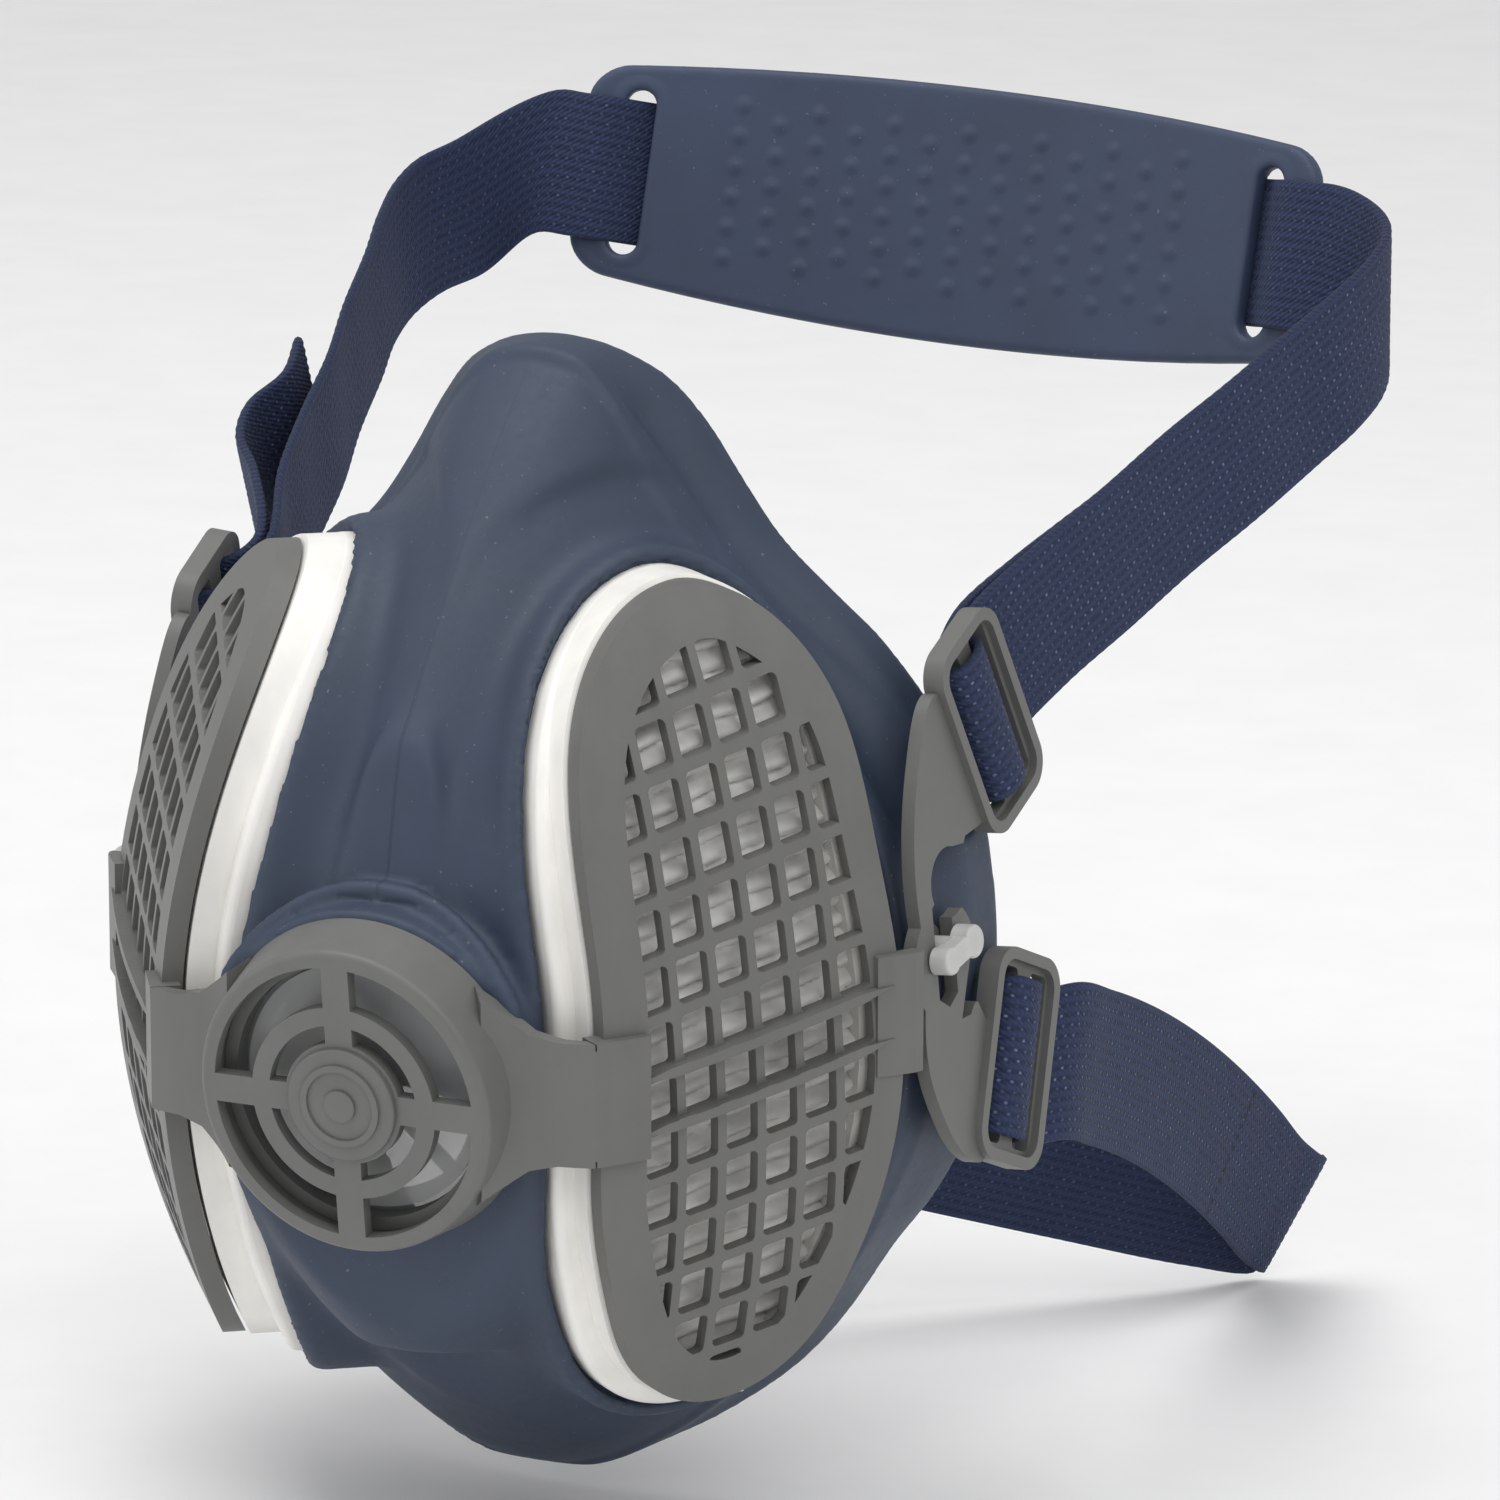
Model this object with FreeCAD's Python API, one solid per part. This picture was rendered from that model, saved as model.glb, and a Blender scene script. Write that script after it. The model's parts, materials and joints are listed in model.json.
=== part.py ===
"""Reusable half-mask respirator with two swing-open filter covers and an elastic harness.

The wearer looks towards -Y, +Z is up and X = 0 is the symmetry plane. The origin is the
centre of the face opening, on the plane through the nose top and the chin. Millimetres.
"""
import FreeCAD
import Part
import math
import os

V = FreeCAD.Vector
X_AXIS = V(1, 0, 0)
Y_AXIS = V(0, 1, 0)
Z_AXIS = V(0, 0, 1)

# Face piece
FACE_HALF_HEIGHT = 73.0
FACE_HALF_WIDTH = 54.0
FACE_WALL = 2.4
FACE_REACH = 18.0          # how far the cheek edge reaches back behind the nose and the chin
LIP_THICKNESS = 1.8        # in-turned sealing lip
LIP_WIDTH = 13.0
# depth in front of the origin plane, upper end, lower end, half width
FACE_SECTIONS = (
    (-24.0, 73.0, -73.0, 54.0),
    (0.0, 73.0, -73.0, 52.2),
    (12.0, 63.5, -67.0, 48.5),
    (28.0, 45.0, -57.0, 34.0),
    (40.0, 30.0, -47.0, 24.5),
    (48.0, 13.0, -36.0, 19.0),
)
# share of the half width, share of the height below the top: flared at the seal, plain in front
SEAL_SHAPE = ((0.235, 0.008), (0.389, 0.084), (0.548, 0.180), (0.750, 0.256), (0.963, 0.391),
              (1.0, 0.530), (0.963, 0.664), (0.796, 0.781), (0.590, 0.897), (0.370, 0.966))
DOME_SHAPE = ((0.160, 0.012), (0.330, 0.075), (0.470, 0.150), (0.660, 0.245), (0.900, 0.400),
              (1.0, 0.550), (0.955, 0.660), (0.800, 0.770), (0.560, 0.880), (0.300, 0.960))
DOME_DEPTH = 24.0          # the outline has lost its flare here

# Filter ports: local x runs backwards along the cheek, local y inwards, local z up
PORT_ORIGIN = V(44.6, -26.3, -9.0)
PORT_TURN = 53.13
BOW_RADIUS = 100.0         # the covers are bowed about a horizontal axis
PORT_OUTLINE = (
    (-4.5, 57.2), (-14.5, 53.0), (-21.8, 44.0), (-24.9, 30.0), (-24.3, 8.0), (-24.4, -13.0),
    (-20.7, -28.0), (-14.0, -39.4), (-5.5, -43.2), (4.0, -39.8), (11.0, -28.0), (15.9, -8.0),
    (16.2, 8.0), (14.2, 28.0), (11.2, 46.0), (4.5, 54.5),
)
CROWN_START = 16.0         # heights between which the filter rim loses its flare
CROWN_END = 54.0
CROWN_LOSS = 0.85
COVER_THICKNESS = 1.9
COVER_SKIRT = 2.6
COVER_BORDER = 6.0
GRILLE_BAR = 1.15
GRILLE_REAR_REACH = 1.2    # the openings come nearer to the rear edge than to the front one
GRILLE_COLUMN_PITCH = 5.42
GRILLE_COLUMN_START = -14.1
GRILLE_COLUMN_LEAN = -0.046
GRILLE_ROW_PITCH = 6.68
GRILLE_ROW_START = 6.07
GRILLE_ROW_SLOPE = 12.4
RIB_HEIGHT = 1.5
ARM_HEIGHT = 15.2
BAND_LOW = -2.0
BAND_HIGH = 13.0
FRAME_TOP = 3.0            # depths of the filter frame below the cover face
FRAME_STEP = 6.4
FRAME_BASE = 11.3
SEAT_BASE = 15.6
FRAME_INSET = 4.5          # the frame's inner wall, inside the port outline
FOOT_FLARE = 2.9           # the foot stands this far outside the port outline
PORT_LEDGE = 0.9           # the opening through the cheek is this much smaller than the outline
PLEAT_PITCH = 3.2
PLEAT_COUNT = 30
PLEAT_BOTTOM = -42.0
PLEAT_CREST = 3.6          # depths of the pleats and of the medium's back
PLEAT_VALLEY = 5.4
PLEAT_BACK = 9.0
SEAT_X = -4.0              # centre of the inhalation valve in the port
SEAT_Z = 2.0
SEAT_BORE = 12.4
INHALATION_FLAP = 14.0

# Exhalation valve, local z outwards
VALVE_CENTRE = V(0.0, -55.4, -10.4)
VALVE_TILT = 97.0
VALVE_OPENING = 17.25
VALVE_RING = 19.2
VALVE_SKIRT = 20.6
VALVE_DEPTH = 8.0
SPOKE_WIDTH = 3.6
HUB_RADIUS = 7.1

# Yoke plate, local x backwards, local z up, local y inwards
YOKE_ORIGIN = V(56.0, -8.0, -9.0)
YOKE_BACK = V(0.1, 0.995, 0.0)
YOKE_UP = V(-0.106, 0.01, 0.994)
YOKE_THICKNESS = 1.8
YOKE_RIM = 1.0
LOOP_LENGTH = 26.6
LOOP_WIDTH = 16.0
LOOP_CORNER = 4.0
LOOP_RIM_WIDTH = 1.5
UPPER_LOOP = (20.0, 36.5, -24.8)     # centre along x and z, lean of the slot in degrees
LOWER_LOOP = (19.8, -6.1, 23.0)
STUD = (5.1, 11.0)

# Webbing
WEB_WIDTH = 20.0
WEB_THICKNESS = 1.4
PAD_HALF_LENGTH = 55.0
PAD_THICKNESS = 2.6
PAD_LEAN = 14.0
PAD_TILT = 2.4
PAD_CENTRE = V(0.0, 129.0, 67.5)
PAD_BOW_RADIUS = 180.0
PAD_SLOT_X = 47.5
NECK_FOLD = V(55.0, 118.0, -66.0)
NECK_FOLD_UP = V(0.45, 0.0, 0.89)
NECK_START = V(59.4, 27.5, -19.5)
LEFT_NECK_START = V(-52.0, 25.5, -21.0)


def closed_curve(points, height=0.0):
    """Smooth closed curve through (x, z) points in the plane y = height."""
    curve = Part.BSplineCurve()
    curve.interpolate(Points=[V(x, height, z) for x, z in points], PeriodicFlag=True)
    return curve


def crown_share(z):
    """Share of the filter rim's flare left at a height: all below, little at the crown."""
    rise = min(1.0, max(0.0, (z - CROWN_START) / (CROWN_END - CROWN_START)))
    return 1.0 - CROWN_LOSS * rise * rise * (3 - 2 * rise)


def grown_points(points, grow, crowned=False, count=30):
    """Points of the closed curve moved outwards by grow, less at the crown if asked."""
    curve = closed_curve(points)
    first = curve.FirstParameter
    span = curve.LastParameter - first
    middle = V(-4.0, 0, 7.0)
    moved = []
    for k in range(count):
        u = first + span * k / count
        at = curve.value(u)
        side = curve.tangent(u)[0].cross(Y_AXIS)
        if side.dot(at - middle) < 0:
            side = side * -1
        at = at + side * (grow * crown_share(at.z) if crowned else grow)
        moved.append((at.x, at.z))
    return moved


def prism(points, y_from, y_to):
    """Solid between two depths with a smooth closed outline in the x-z plane."""
    edge = closed_curve(points, y_from).toShape()
    return Part.Face(Part.Wire(edge)).extrude(V(0, y_to - y_from, 0))


def polygon_prism(points, y_from, y_to):
    """Solid between two depths with a straight-sided outline in the x-z plane."""
    corners = [V(x, y_from, z) for x, z in points]
    wire = Part.makePolygon(corners + corners[:1])
    return Part.Face(wire).extrude(V(0, y_to - y_from, 0))


def box(x0, x1, y0, y1, z0, z1):
    return Part.makeBox(x1 - x0, y1 - y0, z1 - z0, V(x0, y0, z0))


def disc(radius, z0, z1):
    return Part.makeCylinder(radius, z1 - z0, V(0, 0, z0))


def ring(outer, inner, z0, z1):
    return disc(outer, z0, z1).cut(disc(inner, z0 - 1, z1 + 1))


def soften(shape, radius, test):
    """Round the edges that pass the test, leaving the shape alone where that fails."""
    edges = [edge for edge in shape.Edges if test(edge)]
    if not edges:
        return shape
    try:
        rounded = shape.makeFillet(radius, edges)
    except Part.OCCError:
        return shape
    if rounded.isValid() and rounded.Volume > 0:
        return rounded
    return shape


def fuse(shapes):
    whole = shapes[0]
    if len(shapes) > 1:
        whole = whole.fuse(shapes[1:])
    return whole.removeSplitter()


def moved(shape, placement):
    copy = shape.copy()
    copy.Placement = placement.multiply(copy.Placement)
    return copy


def mirrored(shape):
    return shape.mirror(V(0, 0, 0), X_AXIS)


# ---------------------------------------------------------------- placements

def port_placement():
    return FreeCAD.Placement(PORT_ORIGIN, FreeCAD.Rotation(Z_AXIS, PORT_TURN))


def valve_placement():
    return FreeCAD.Placement(VALVE_CENTRE, FreeCAD.Rotation(X_AXIS, VALVE_TILT))


def yoke_placement():
    inwards = YOKE_UP.cross(YOKE_BACK)
    rotation = FreeCAD.Rotation(YOKE_BACK, inwards, YOKE_UP, "XZY")
    return FreeCAD.Placement(YOKE_ORIGIN, rotation)


def loop_placement(loop):
    x, z, lean = loop
    turn = FreeCAD.Rotation(Y_AXIS, lean)
    return FreeCAD.Placement(V(x, 0, z), turn)


def pad_placement():
    lean = FreeCAD.Rotation(X_AXIS, -PAD_LEAN)
    return FreeCAD.Placement(PAD_CENTRE, lean.multiply(FreeCAD.Rotation(Y_AXIS, PAD_TILT)))


# ---------------------------------------------------------------- face piece

def section_points(depth, top, bottom, width, shrink=0.0):
    """Outline of the mask at one depth: narrow at the nose, widest below the middle."""
    top = top - shrink
    bottom = bottom + shrink
    width = width - shrink
    mix = min(1.0, max(0.0, depth / DOME_DEPTH))
    right = []
    for (seal_x, seal_z), (dome_x, dome_z) in zip(SEAL_SHAPE, DOME_SHAPE):
        across = seal_x + (dome_x - seal_x) * mix
        down = seal_z + (dome_z - seal_z) * mix
        right.append((across * width, top - down * (top - bottom)))
    left = [(-x, z) for x, z in reversed(right)]
    return [(0.0, top)] + right + [(0.0, bottom)] + left


def face_loft(shrink):
    wires = []
    for depth, top, bottom, width in FACE_SECTIONS:
        outline = section_points(depth, top, bottom, width, shrink)
        y = -depth + (shrink if depth > 40 else 0)
        wires.append(Part.Wire(closed_curve(outline, y).toShape()))
    return Part.makeLoft(wires, True, False)


def back_drum(inset):
    """The rear edge of the mask follows a drum that curves from nose to chin."""
    radius = (FACE_HALF_HEIGHT ** 2 + FACE_REACH ** 2) / (2 * FACE_REACH)
    start = V(-80, FACE_REACH - radius, 0)
    return Part.makeCylinder(radius - inset, 160, start, X_AXIS)


def face_opening_points():
    return section_points(DOME_DEPTH, FACE_HALF_HEIGHT - LIP_WIDTH - 7,
                          -FACE_HALF_HEIGHT + LIP_WIDTH, FACE_HALF_WIDTH - LIP_WIDTH)


def webbing_relief():
    """Hollow in the cheek where the webbing round the upper loop stands inside the yoke."""
    half = WEB_WIDTH / 2 + 1.4
    return moved(box(-8.8, 16.0, -1.0, 6.4, -half, half), loop_placement(UPPER_LOOP))


def face_piece():
    outer = face_loft(0.0).common(back_drum(0.0))
    behind_valve = moved(disc(80, -90, -VALVE_DEPTH - FACE_WALL), valve_placement())
    hollow = face_loft(FACE_WALL).common(back_drum(LIP_THICKNESS)).common(behind_valve)
    shell = outer.cut(hollow)
    shell = shell.cut(prism(face_opening_points(), -20, 40))
    pocket = prism(grown_points(PORT_OUTLINE, FOOT_FLARE + 1.3, True), -30, 60)
    pocket = pocket.cut(port_floor(FRAME_BASE + 0.3))
    collar = port_slab(FRAME_BASE + 0.3, SEAT_BASE + 1.6, FOOT_FLARE + 0.7, -1.0, True)
    hole = prism(grown_points(PORT_OUTLINE, -PORT_LEDGE), -30, 40)
    x, z = STUD
    socket = Part.makeCylinder(3.3, YOKE_THICKNESS + 6.0, V(x, 0, z), Y_AXIS)
    socket = moved(socket, yoke_placement())
    for side in (False, True):
        tools = [moved(tool, port_placement()) for tool in (pocket, collar, hole)]
        if side:
            tools = [mirrored(tool) for tool in tools]
        shell = shell.cut(tools[0])
        shell = shell.fuse(tools[1])
        shell = shell.cut([tools[2], mirrored(socket) if side else socket])
        shell = shell.cut(mirrored(webbing_relief()) if side else webbing_relief())
    valve_bore = moved(disc(VALVE_OPENING + 0.9, -24, 3), valve_placement())
    valve_face = moved(disc(60, -VALVE_DEPTH, 30), valve_placement())
    shell = shell.cut(valve_face).cut(valve_bore)
    return max(shell.Solids, key=lambda solid: solid.Volume)


# ---------------------------------------------------------------- filters and covers

def bowed_slab(depth_from, depth_to):
    start = V(-60, BOW_RADIUS, 0)
    outer = Part.makeCylinder(BOW_RADIUS - depth_from, 120, start, X_AXIS)
    inner = Part.makeCylinder(BOW_RADIUS - depth_to, 122, start - V(1, 0, 0), X_AXIS)
    near = box(-60, 60, -10, 60, -80, 80)
    return outer.cut(inner).common(near)


def port_floor(depth):
    """Everything that lies deeper than the bowed surface at this depth."""
    start = V(-61, BOW_RADIUS, 0)
    return Part.makeCylinder(BOW_RADIUS - depth, 122, start, X_AXIS)


def port_slab(depth_from, depth_to, grow_outer, grow_inner=None, crowned=False):
    """Bowed plate or ring that follows the port outline between two depths."""
    body = bowed_slab(depth_from, depth_to)
    body = body.common(prism(grown_points(PORT_OUTLINE, grow_outer, crowned), -10, 60))
    if grow_inner is not None:
        body = body.cut(prism(grown_points(PORT_OUTLINE, grow_inner), -12, 62))
    return body


def grille_windows():
    """Sheared grid of openings between straight columns and rows that climb backwards."""
    slope = math.tan(math.radians(GRILLE_ROW_SLOPE))
    edge = grown_points(PORT_OUTLINE, -COVER_BORDER)
    inner = prism([(x * GRILLE_REAR_REACH if x > 0 else x, z) for x, z in edge], -12, 40)
    half = GRILLE_BAR / 2
    windows = []
    for column in range(-2, 6):
        x0 = GRILLE_COLUMN_START + column * GRILLE_COLUMN_PITCH + half
        x1 = x0 + GRILLE_COLUMN_PITCH - GRILLE_BAR
        for row in range(-8, 9):
            base = GRILLE_ROW_START + row * GRILLE_ROW_PITCH
            low0 = base + slope * x0 + half
            low1 = base + slope * x1 + half
            lift = GRILLE_ROW_PITCH - GRILLE_BAR * 1.15
            upright = ((x0, low0), (x1, low1), (x1, low1 + lift), (x0, low0 + lift))
            corners = [(x + GRILLE_COLUMN_LEAN * z, z) for x, z in upright]
            window = polygon_prism(corners, -12, 40)
            edges = [e for e in window.Edges if abs(e.Length - 52) < 0.01]
            window = window.makeFillet(0.7, edges).common(inner)
            if window.Volume > 52 * 2.2:
                windows.append(window)
    return windows


def crossing_rib(row):
    """Raised lens-shaped rib on top of one grille row, from the front arm to the rear band."""
    slope = math.tan(math.radians(GRILLE_ROW_SLOPE))
    start = -20.4
    end = 15.0
    base = GRILLE_ROW_START + row * GRILLE_ROW_PITCH
    half = GRILLE_BAR * 0.57
    corners = ((start, base + slope * start), (start + 5, base + slope * (start + 5) - half),
               (end - 5, base + slope * (end - 5) - half), (end, base + slope * end),
               (end - 5, base + slope * (end - 5) + half),
               (start + 5, base + slope * (start + 5) + half))
    body = polygon_prism(corners, -RIB_HEIGHT, 1.0)
    crown = Part.makeCylinder(150, 40, V(-3, 150 - RIB_HEIGHT, -10), Z_AXIS)
    return body.common(crown)


def filter_cover():
    body = port_slab(0.0, COVER_SKIRT, 0.0)
    body = body.cut(port_slab(COVER_THICKNESS, COVER_SKIRT + 2.0, -1.6))
    body = body.fuse([hinge_tab(), latch_band(), crossing_rib(0), crossing_rib(-1)])
    return body.removeSplitter().cut(grille_windows())


def hinge_tab():
    """Raised tab that wraps the front edge of the cover, as tall as the arm."""
    half = ARM_HEIGHT / 2
    profile = ((-26.1, -1.4), (-18.6, -0.9), (-18.6, 1.4), (-24.0, 1.4), (-24.4, 2.4), (-26.1, 2.4))
    return tall_strip(profile, -half, half)


def latch_band():
    """Strap-like band that carries on over the rear edge and turns towards the yoke."""
    profile = ((12.6, 1.4), (12.6, -0.3), (17.8, -0.4), (19.0, -0.05), (19.4, 0.5),
               (18.6, 1.8))
    return tall_strip(profile, BAND_LOW, BAND_HIGH)


def tall_strip(profile, low, high):
    corners = [V(x, y, low) for x, y in profile]
    wire = Part.makePolygon(corners + corners[:1])
    return Part.Face(wire).extrude(V(0, 0, high - low))


def filter_frame():
    """White rim of the filter: a neck under the cover and a wider rounded foot."""
    neck = port_slab(FRAME_TOP, FRAME_STEP + 0.5, 0.4, -FRAME_INSET)
    foot = port_slab(FRAME_STEP, FRAME_BASE, FOOT_FLARE, -FRAME_INSET, True)
    foot = soften(foot, 1.2, lambda e: e.Length > 120 and e.BoundBox.YMin < FRAME_STEP + 0.1)
    tab = box(-1.5, 6.0, FRAME_BASE - 1.4, FRAME_BASE + 10, -50, -43.0)
    tab = tab.common(bowed_slab(FRAME_BASE - 3.0, FRAME_BASE))
    return fuse([neck, foot, tab])


def filter_media():
    """Pleated medium: horizontal pleats between the walls of the frame."""
    profile = []
    for k in range(PLEAT_COUNT):
        z = PLEAT_BOTTOM + k * PLEAT_PITCH
        profile.append((z, PLEAT_CREST))
        profile.append((z + PLEAT_PITCH / 2, PLEAT_VALLEY))
    profile.append((PLEAT_BOTTOM + PLEAT_COUNT * PLEAT_PITCH, PLEAT_BACK))
    profile.append((PLEAT_BOTTOM, PLEAT_BACK))
    corners = [V(-40, y + z * z / (2 * BOW_RADIUS), z) for z, y in profile]
    wire = Part.makePolygon(corners + corners[:1])
    body = Part.Face(wire).extrude(V(80, 0, 0))
    body = body.common(bowed_slab(FRAME_TOP, FRAME_BASE - 1.0))
    return body.common(prism(grown_points(PORT_OUTLINE, -FRAME_INSET), -10, 60))


def port_seat():
    """Rigid port ring with a spider that carries the inhalation flap."""
    plate = port_slab(FRAME_BASE + 0.4, SEAT_BASE, -1.0, -6.0)
    web = bowed_slab(FRAME_BASE + 1.6, FRAME_BASE + 3.2)
    web = web.common(prism(grown_points(PORT_OUTLINE, -5.5), -10, 60))
    bore = Part.makeCylinder(SEAT_BORE, 60, V(SEAT_X, -10, SEAT_Z), Y_AXIS)
    reach = SEAT_BORE + 1.6
    spider = fuse([box(SEAT_X - reach, SEAT_X + reach, -10, 60, SEAT_Z - 0.9, SEAT_Z + 0.9),
                   box(SEAT_X - 0.9, SEAT_X + 0.9, -10, 60, SEAT_Z - reach, SEAT_Z + reach)])
    spider = spider.common(bowed_slab(FRAME_BASE + 1.6, FRAME_BASE + 2.8))
    pin = Part.makeCylinder(1.6, 4.6, V(SEAT_X, FRAME_BASE + 1.6, SEAT_Z), Y_AXIS)
    return fuse([plate, web.cut(bore), spider, pin])


def inhalation_flap():
    flap = Part.makeCylinder(INHALATION_FLAP, 0.6, V(SEAT_X, SEAT_BASE + 0.45, SEAT_Z), Y_AXIS)
    return flap.cut(Part.makeCylinder(1.9, 5, V(SEAT_X, SEAT_BASE - 2, SEAT_Z), Y_AXIS))


# ---------------------------------------------------------------- exhalation valve

def valve_windows():
    """Four outer windows and four inner arc slots between the spokes."""
    cross = [box(-30, 30, -SPOKE_WIDTH / 2, SPOKE_WIDTH / 2, -4, 2),
             box(-SPOKE_WIDTH / 2, SPOKE_WIDTH / 2, -30, 30, -4, 2)]
    windows = ring(VALVE_OPENING, 12.2, -4, 2).cut(cross)
    slots = ring(9.9, 7.7, -4, 2).cut(cross)
    return windows, slots


def front_frame():
    """Valve guard with its conical skirt and the two arms that reach over to the covers."""
    skirt = Part.makeCone(VALVE_SKIRT, VALVE_RING, VALVE_DEPTH, V(0, 0, -VALVE_DEPTH))
    skirt = soften(skirt, 1.0, lambda e: e.BoundBox.ZMin > -0.1)
    skirt = skirt.cut(disc(VALVE_OPENING + 0.7, -VALVE_DEPTH - 1, -1.7))
    windows, slots = valve_windows()
    guard = skirt.cut([windows, slots])
    guard = moved(guard, valve_placement())
    arm = front_arm()
    whole = guard.fuse([arm, mirrored(arm)])
    clear = moved(disc(VALVE_OPENING + 0.7, -VALVE_DEPTH - 3, -1.7), valve_placement())
    return whole.cut(clear).removeSplitter()


def front_arm():
    """Arm swept in plan from the guard skirt to the hinge line at the cover's front edge."""
    start = V(15.0, -50.2, 0)
    hinge_outer = hinge_point(-26.35, -1.4)
    hinge_inner = hinge_point(-26.35, 0.6)
    outer = Part.BSplineCurve()
    outer.interpolate([V(17.0, -52.6, 0), V(20.5, -50.6, 0), V(24.5, -49.6, 0), hinge_outer])
    inner = Part.BSplineCurve()
    inner.interpolate([hinge_inner, V(24.0, -47.6, 0), V(19.5, -48.3, 0), start])
    edges = [outer.toShape(), Part.makeLine(hinge_outer, hinge_inner), inner.toShape(),
             Part.makeLine(start, V(17.0, -52.6, 0))]
    plan = Part.Face(Part.Wire(edges))
    plan.translate(V(0, 0, -40))
    slab = plan.extrude(V(0, 0, 60))
    centre = PORT_ORIGIN.z
    half = ARM_HEIGHT / 2
    side = ((14.0, 14.5), (19.0, 10.6), (22.0, 8.4), (25.5, half), (31.0, half))
    top = [(x, centre + z) for x, z in side]
    low = [(x, centre - z) for x, z in reversed(side)]
    return slab.common(polygon_prism(top + low, -60, -30))


def hinge_point(x, y):
    turn = math.radians(PORT_TURN)
    return V(PORT_ORIGIN.x + x * math.cos(turn) - y * math.sin(turn),
             PORT_ORIGIN.y + x * math.sin(turn) + y * math.cos(turn), 0)


def hinge_web():
    """Thin living hinge between the arm and the cover tab."""
    half = ARM_HEIGHT / 2 - 0.8
    return box(-26.35, -26.1, -1.4, -0.9, -half, half)


def valve_hub_disc():
    """Raised button in the middle of the guard, with a plain ring and a dome."""
    button = disc(HUB_RADIUS, 0.0, 0.7)
    button = soften(button, 0.3, lambda e: e.BoundBox.ZMin > 0.6)
    return fuse([button, ring(5.2, 4.4, 0.7, 1.05), disc(2.0, 0.7, 1.05)])


def exhalation_valve_seat():
    """Clear seat with six radial bars behind the flap."""
    rim = ring(17.6, 14.0, -VALVE_DEPTH + 0.1, -VALVE_DEPTH + 1.6)
    bars = []
    for k in range(3):
        bar = box(-14.5, 14.5, -0.8, 0.8, -VALVE_DEPTH + 0.1, -VALVE_DEPTH + 1.2)
        bar.rotate(V(0, 0, 0), Z_AXIS, 60 * k + 15)
        bars.append(bar)
    pin = disc(1.2, -VALVE_DEPTH + 0.1, -2.6)
    return fuse([rim, pin] + bars)


def exhalation_valve_flap():
    return ring(15.6, 1.5, -VALVE_DEPTH + 1.7, -VALVE_DEPTH + 2.2)


def exhalation_valve_ring():
    """Press-in ring that holds the seat in the face piece."""
    return ring(VALVE_OPENING + 0.6, 16.2, -VALVE_DEPTH + 1.7, -VALVE_DEPTH + 4.2)


# ---------------------------------------------------------------- yokes and studs

def loop_outer(loop):
    half_x = LOOP_WIDTH / 2
    half_z = LOOP_LENGTH / 2
    body = box(-half_x, half_x, 0, YOKE_THICKNESS, -half_z, half_z)
    body = soften(body, LOOP_CORNER, lambda e: abs(e.Length - YOKE_THICKNESS) < 1e-6)
    return moved(body, loop_placement(loop))


def loop_slots(loop):
    """Two slots with a crossbar between them, one web width long."""
    half_z = WEB_WIDTH / 2 + 1.0
    slots = []
    for x0, x1 in ((-5.6, -1.5), (1.7, 5.8)):
        slot = box(x0, x1, -5, 10, -half_z, half_z)
        slot = soften(slot, 0.8, lambda e: abs(e.Length - 15) < 1e-6)
        slots.append(moved(slot, loop_placement(loop)))
    return slots


def loop_rim(loop):
    rim = box(-LOOP_WIDTH / 2, LOOP_WIDTH / 2, -YOKE_RIM, 0.2, -LOOP_LENGTH / 2, LOOP_LENGTH / 2)
    rim = soften(rim, LOOP_CORNER, lambda e: abs(e.Length - YOKE_RIM - 0.2) < 1e-6)
    half_x = LOOP_WIDTH / 2 - LOOP_RIM_WIDTH
    half_z = LOOP_LENGTH / 2 - LOOP_RIM_WIDTH
    core = box(-half_x, half_x, -5, 5, -half_z, half_z)
    core = soften(core, LOOP_CORNER - LOOP_RIM_WIDTH + 0.1, lambda e: abs(e.Length - 10) < 1e-6)
    return moved(rim.cut(core), loop_placement(loop))


def yoke():
    """Harness plate: two loops for the webbing and a keyed slot for the latch stud."""
    x, z = STUD
    plate_points = ((2.6, 13.5), (1.2, 22.0), (5.2, 35.5), (10.4, 41.0), (19.0, 34.0), (17.0, 24.4),
                    (12.3, 23.7), (6.0, 14.0), (11.8, 12.5), (13.2, 7.5), (8.6, 3.0), (12.0, 3.0),
                    (15.0, -2.0), (12.0, -16.5), (7.2, -14.0), (4.4, -9.5), (0.8, -3.0), (0.6, 1.0))
    plate = polygon_prism(plate_points, 0, YOKE_THICKNESS)
    # the front edge is one smooth sweep from loop to loop
    edge_points = ((0.2, 13.0), (-0.6, 20.0), (0.4, 28.0), (3.2, 36.0), (8.4, 42.2), (14.0, 38.0),
                   (8.0, 28.0), (4.4, 20.0), (4.0, 8.0), (6.0, -3.0), (11.0, -10.0), (10.0, -16.6), (5.4, -14.6),
                   (1.6, -9.6), (-1.1, -3.0), (-0.8, 5.0))
    edge = prism(edge_points, 0, YOKE_THICKNESS)
    lobe = Part.makeCylinder(7.6, YOKE_THICKNESS, V(x, 0, z - 1.5), Y_AXIS)
    body = fuse([plate, edge, loop_outer(UPPER_LOOP), loop_outer(LOWER_LOOP), lobe])
    notch = Part.makeCylinder(4.4, 20, V(7.4, -5, 19.0), Y_AXIS)
    mouth = polygon_prism(((8, 15.2), (20, 15.2), (20, 22.4), (8, 23.2)), -5, 10)
    vee = polygon_prism(((7.8, 1.8), (10.0, 1.8), (17.2, 8.8), (17.2, 14.0), (13.4, 14.0)), -5, 10)
    body = body.cut([notch, mouth, vee])
    body = body.fuse([loop_rim(UPPER_LOOP), loop_rim(LOWER_LOOP)])
    body = body.cut(loop_slots(UPPER_LOOP) + loop_slots(LOWER_LOOP) + [keyed_slot()])
    return body.removeSplitter()


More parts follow.
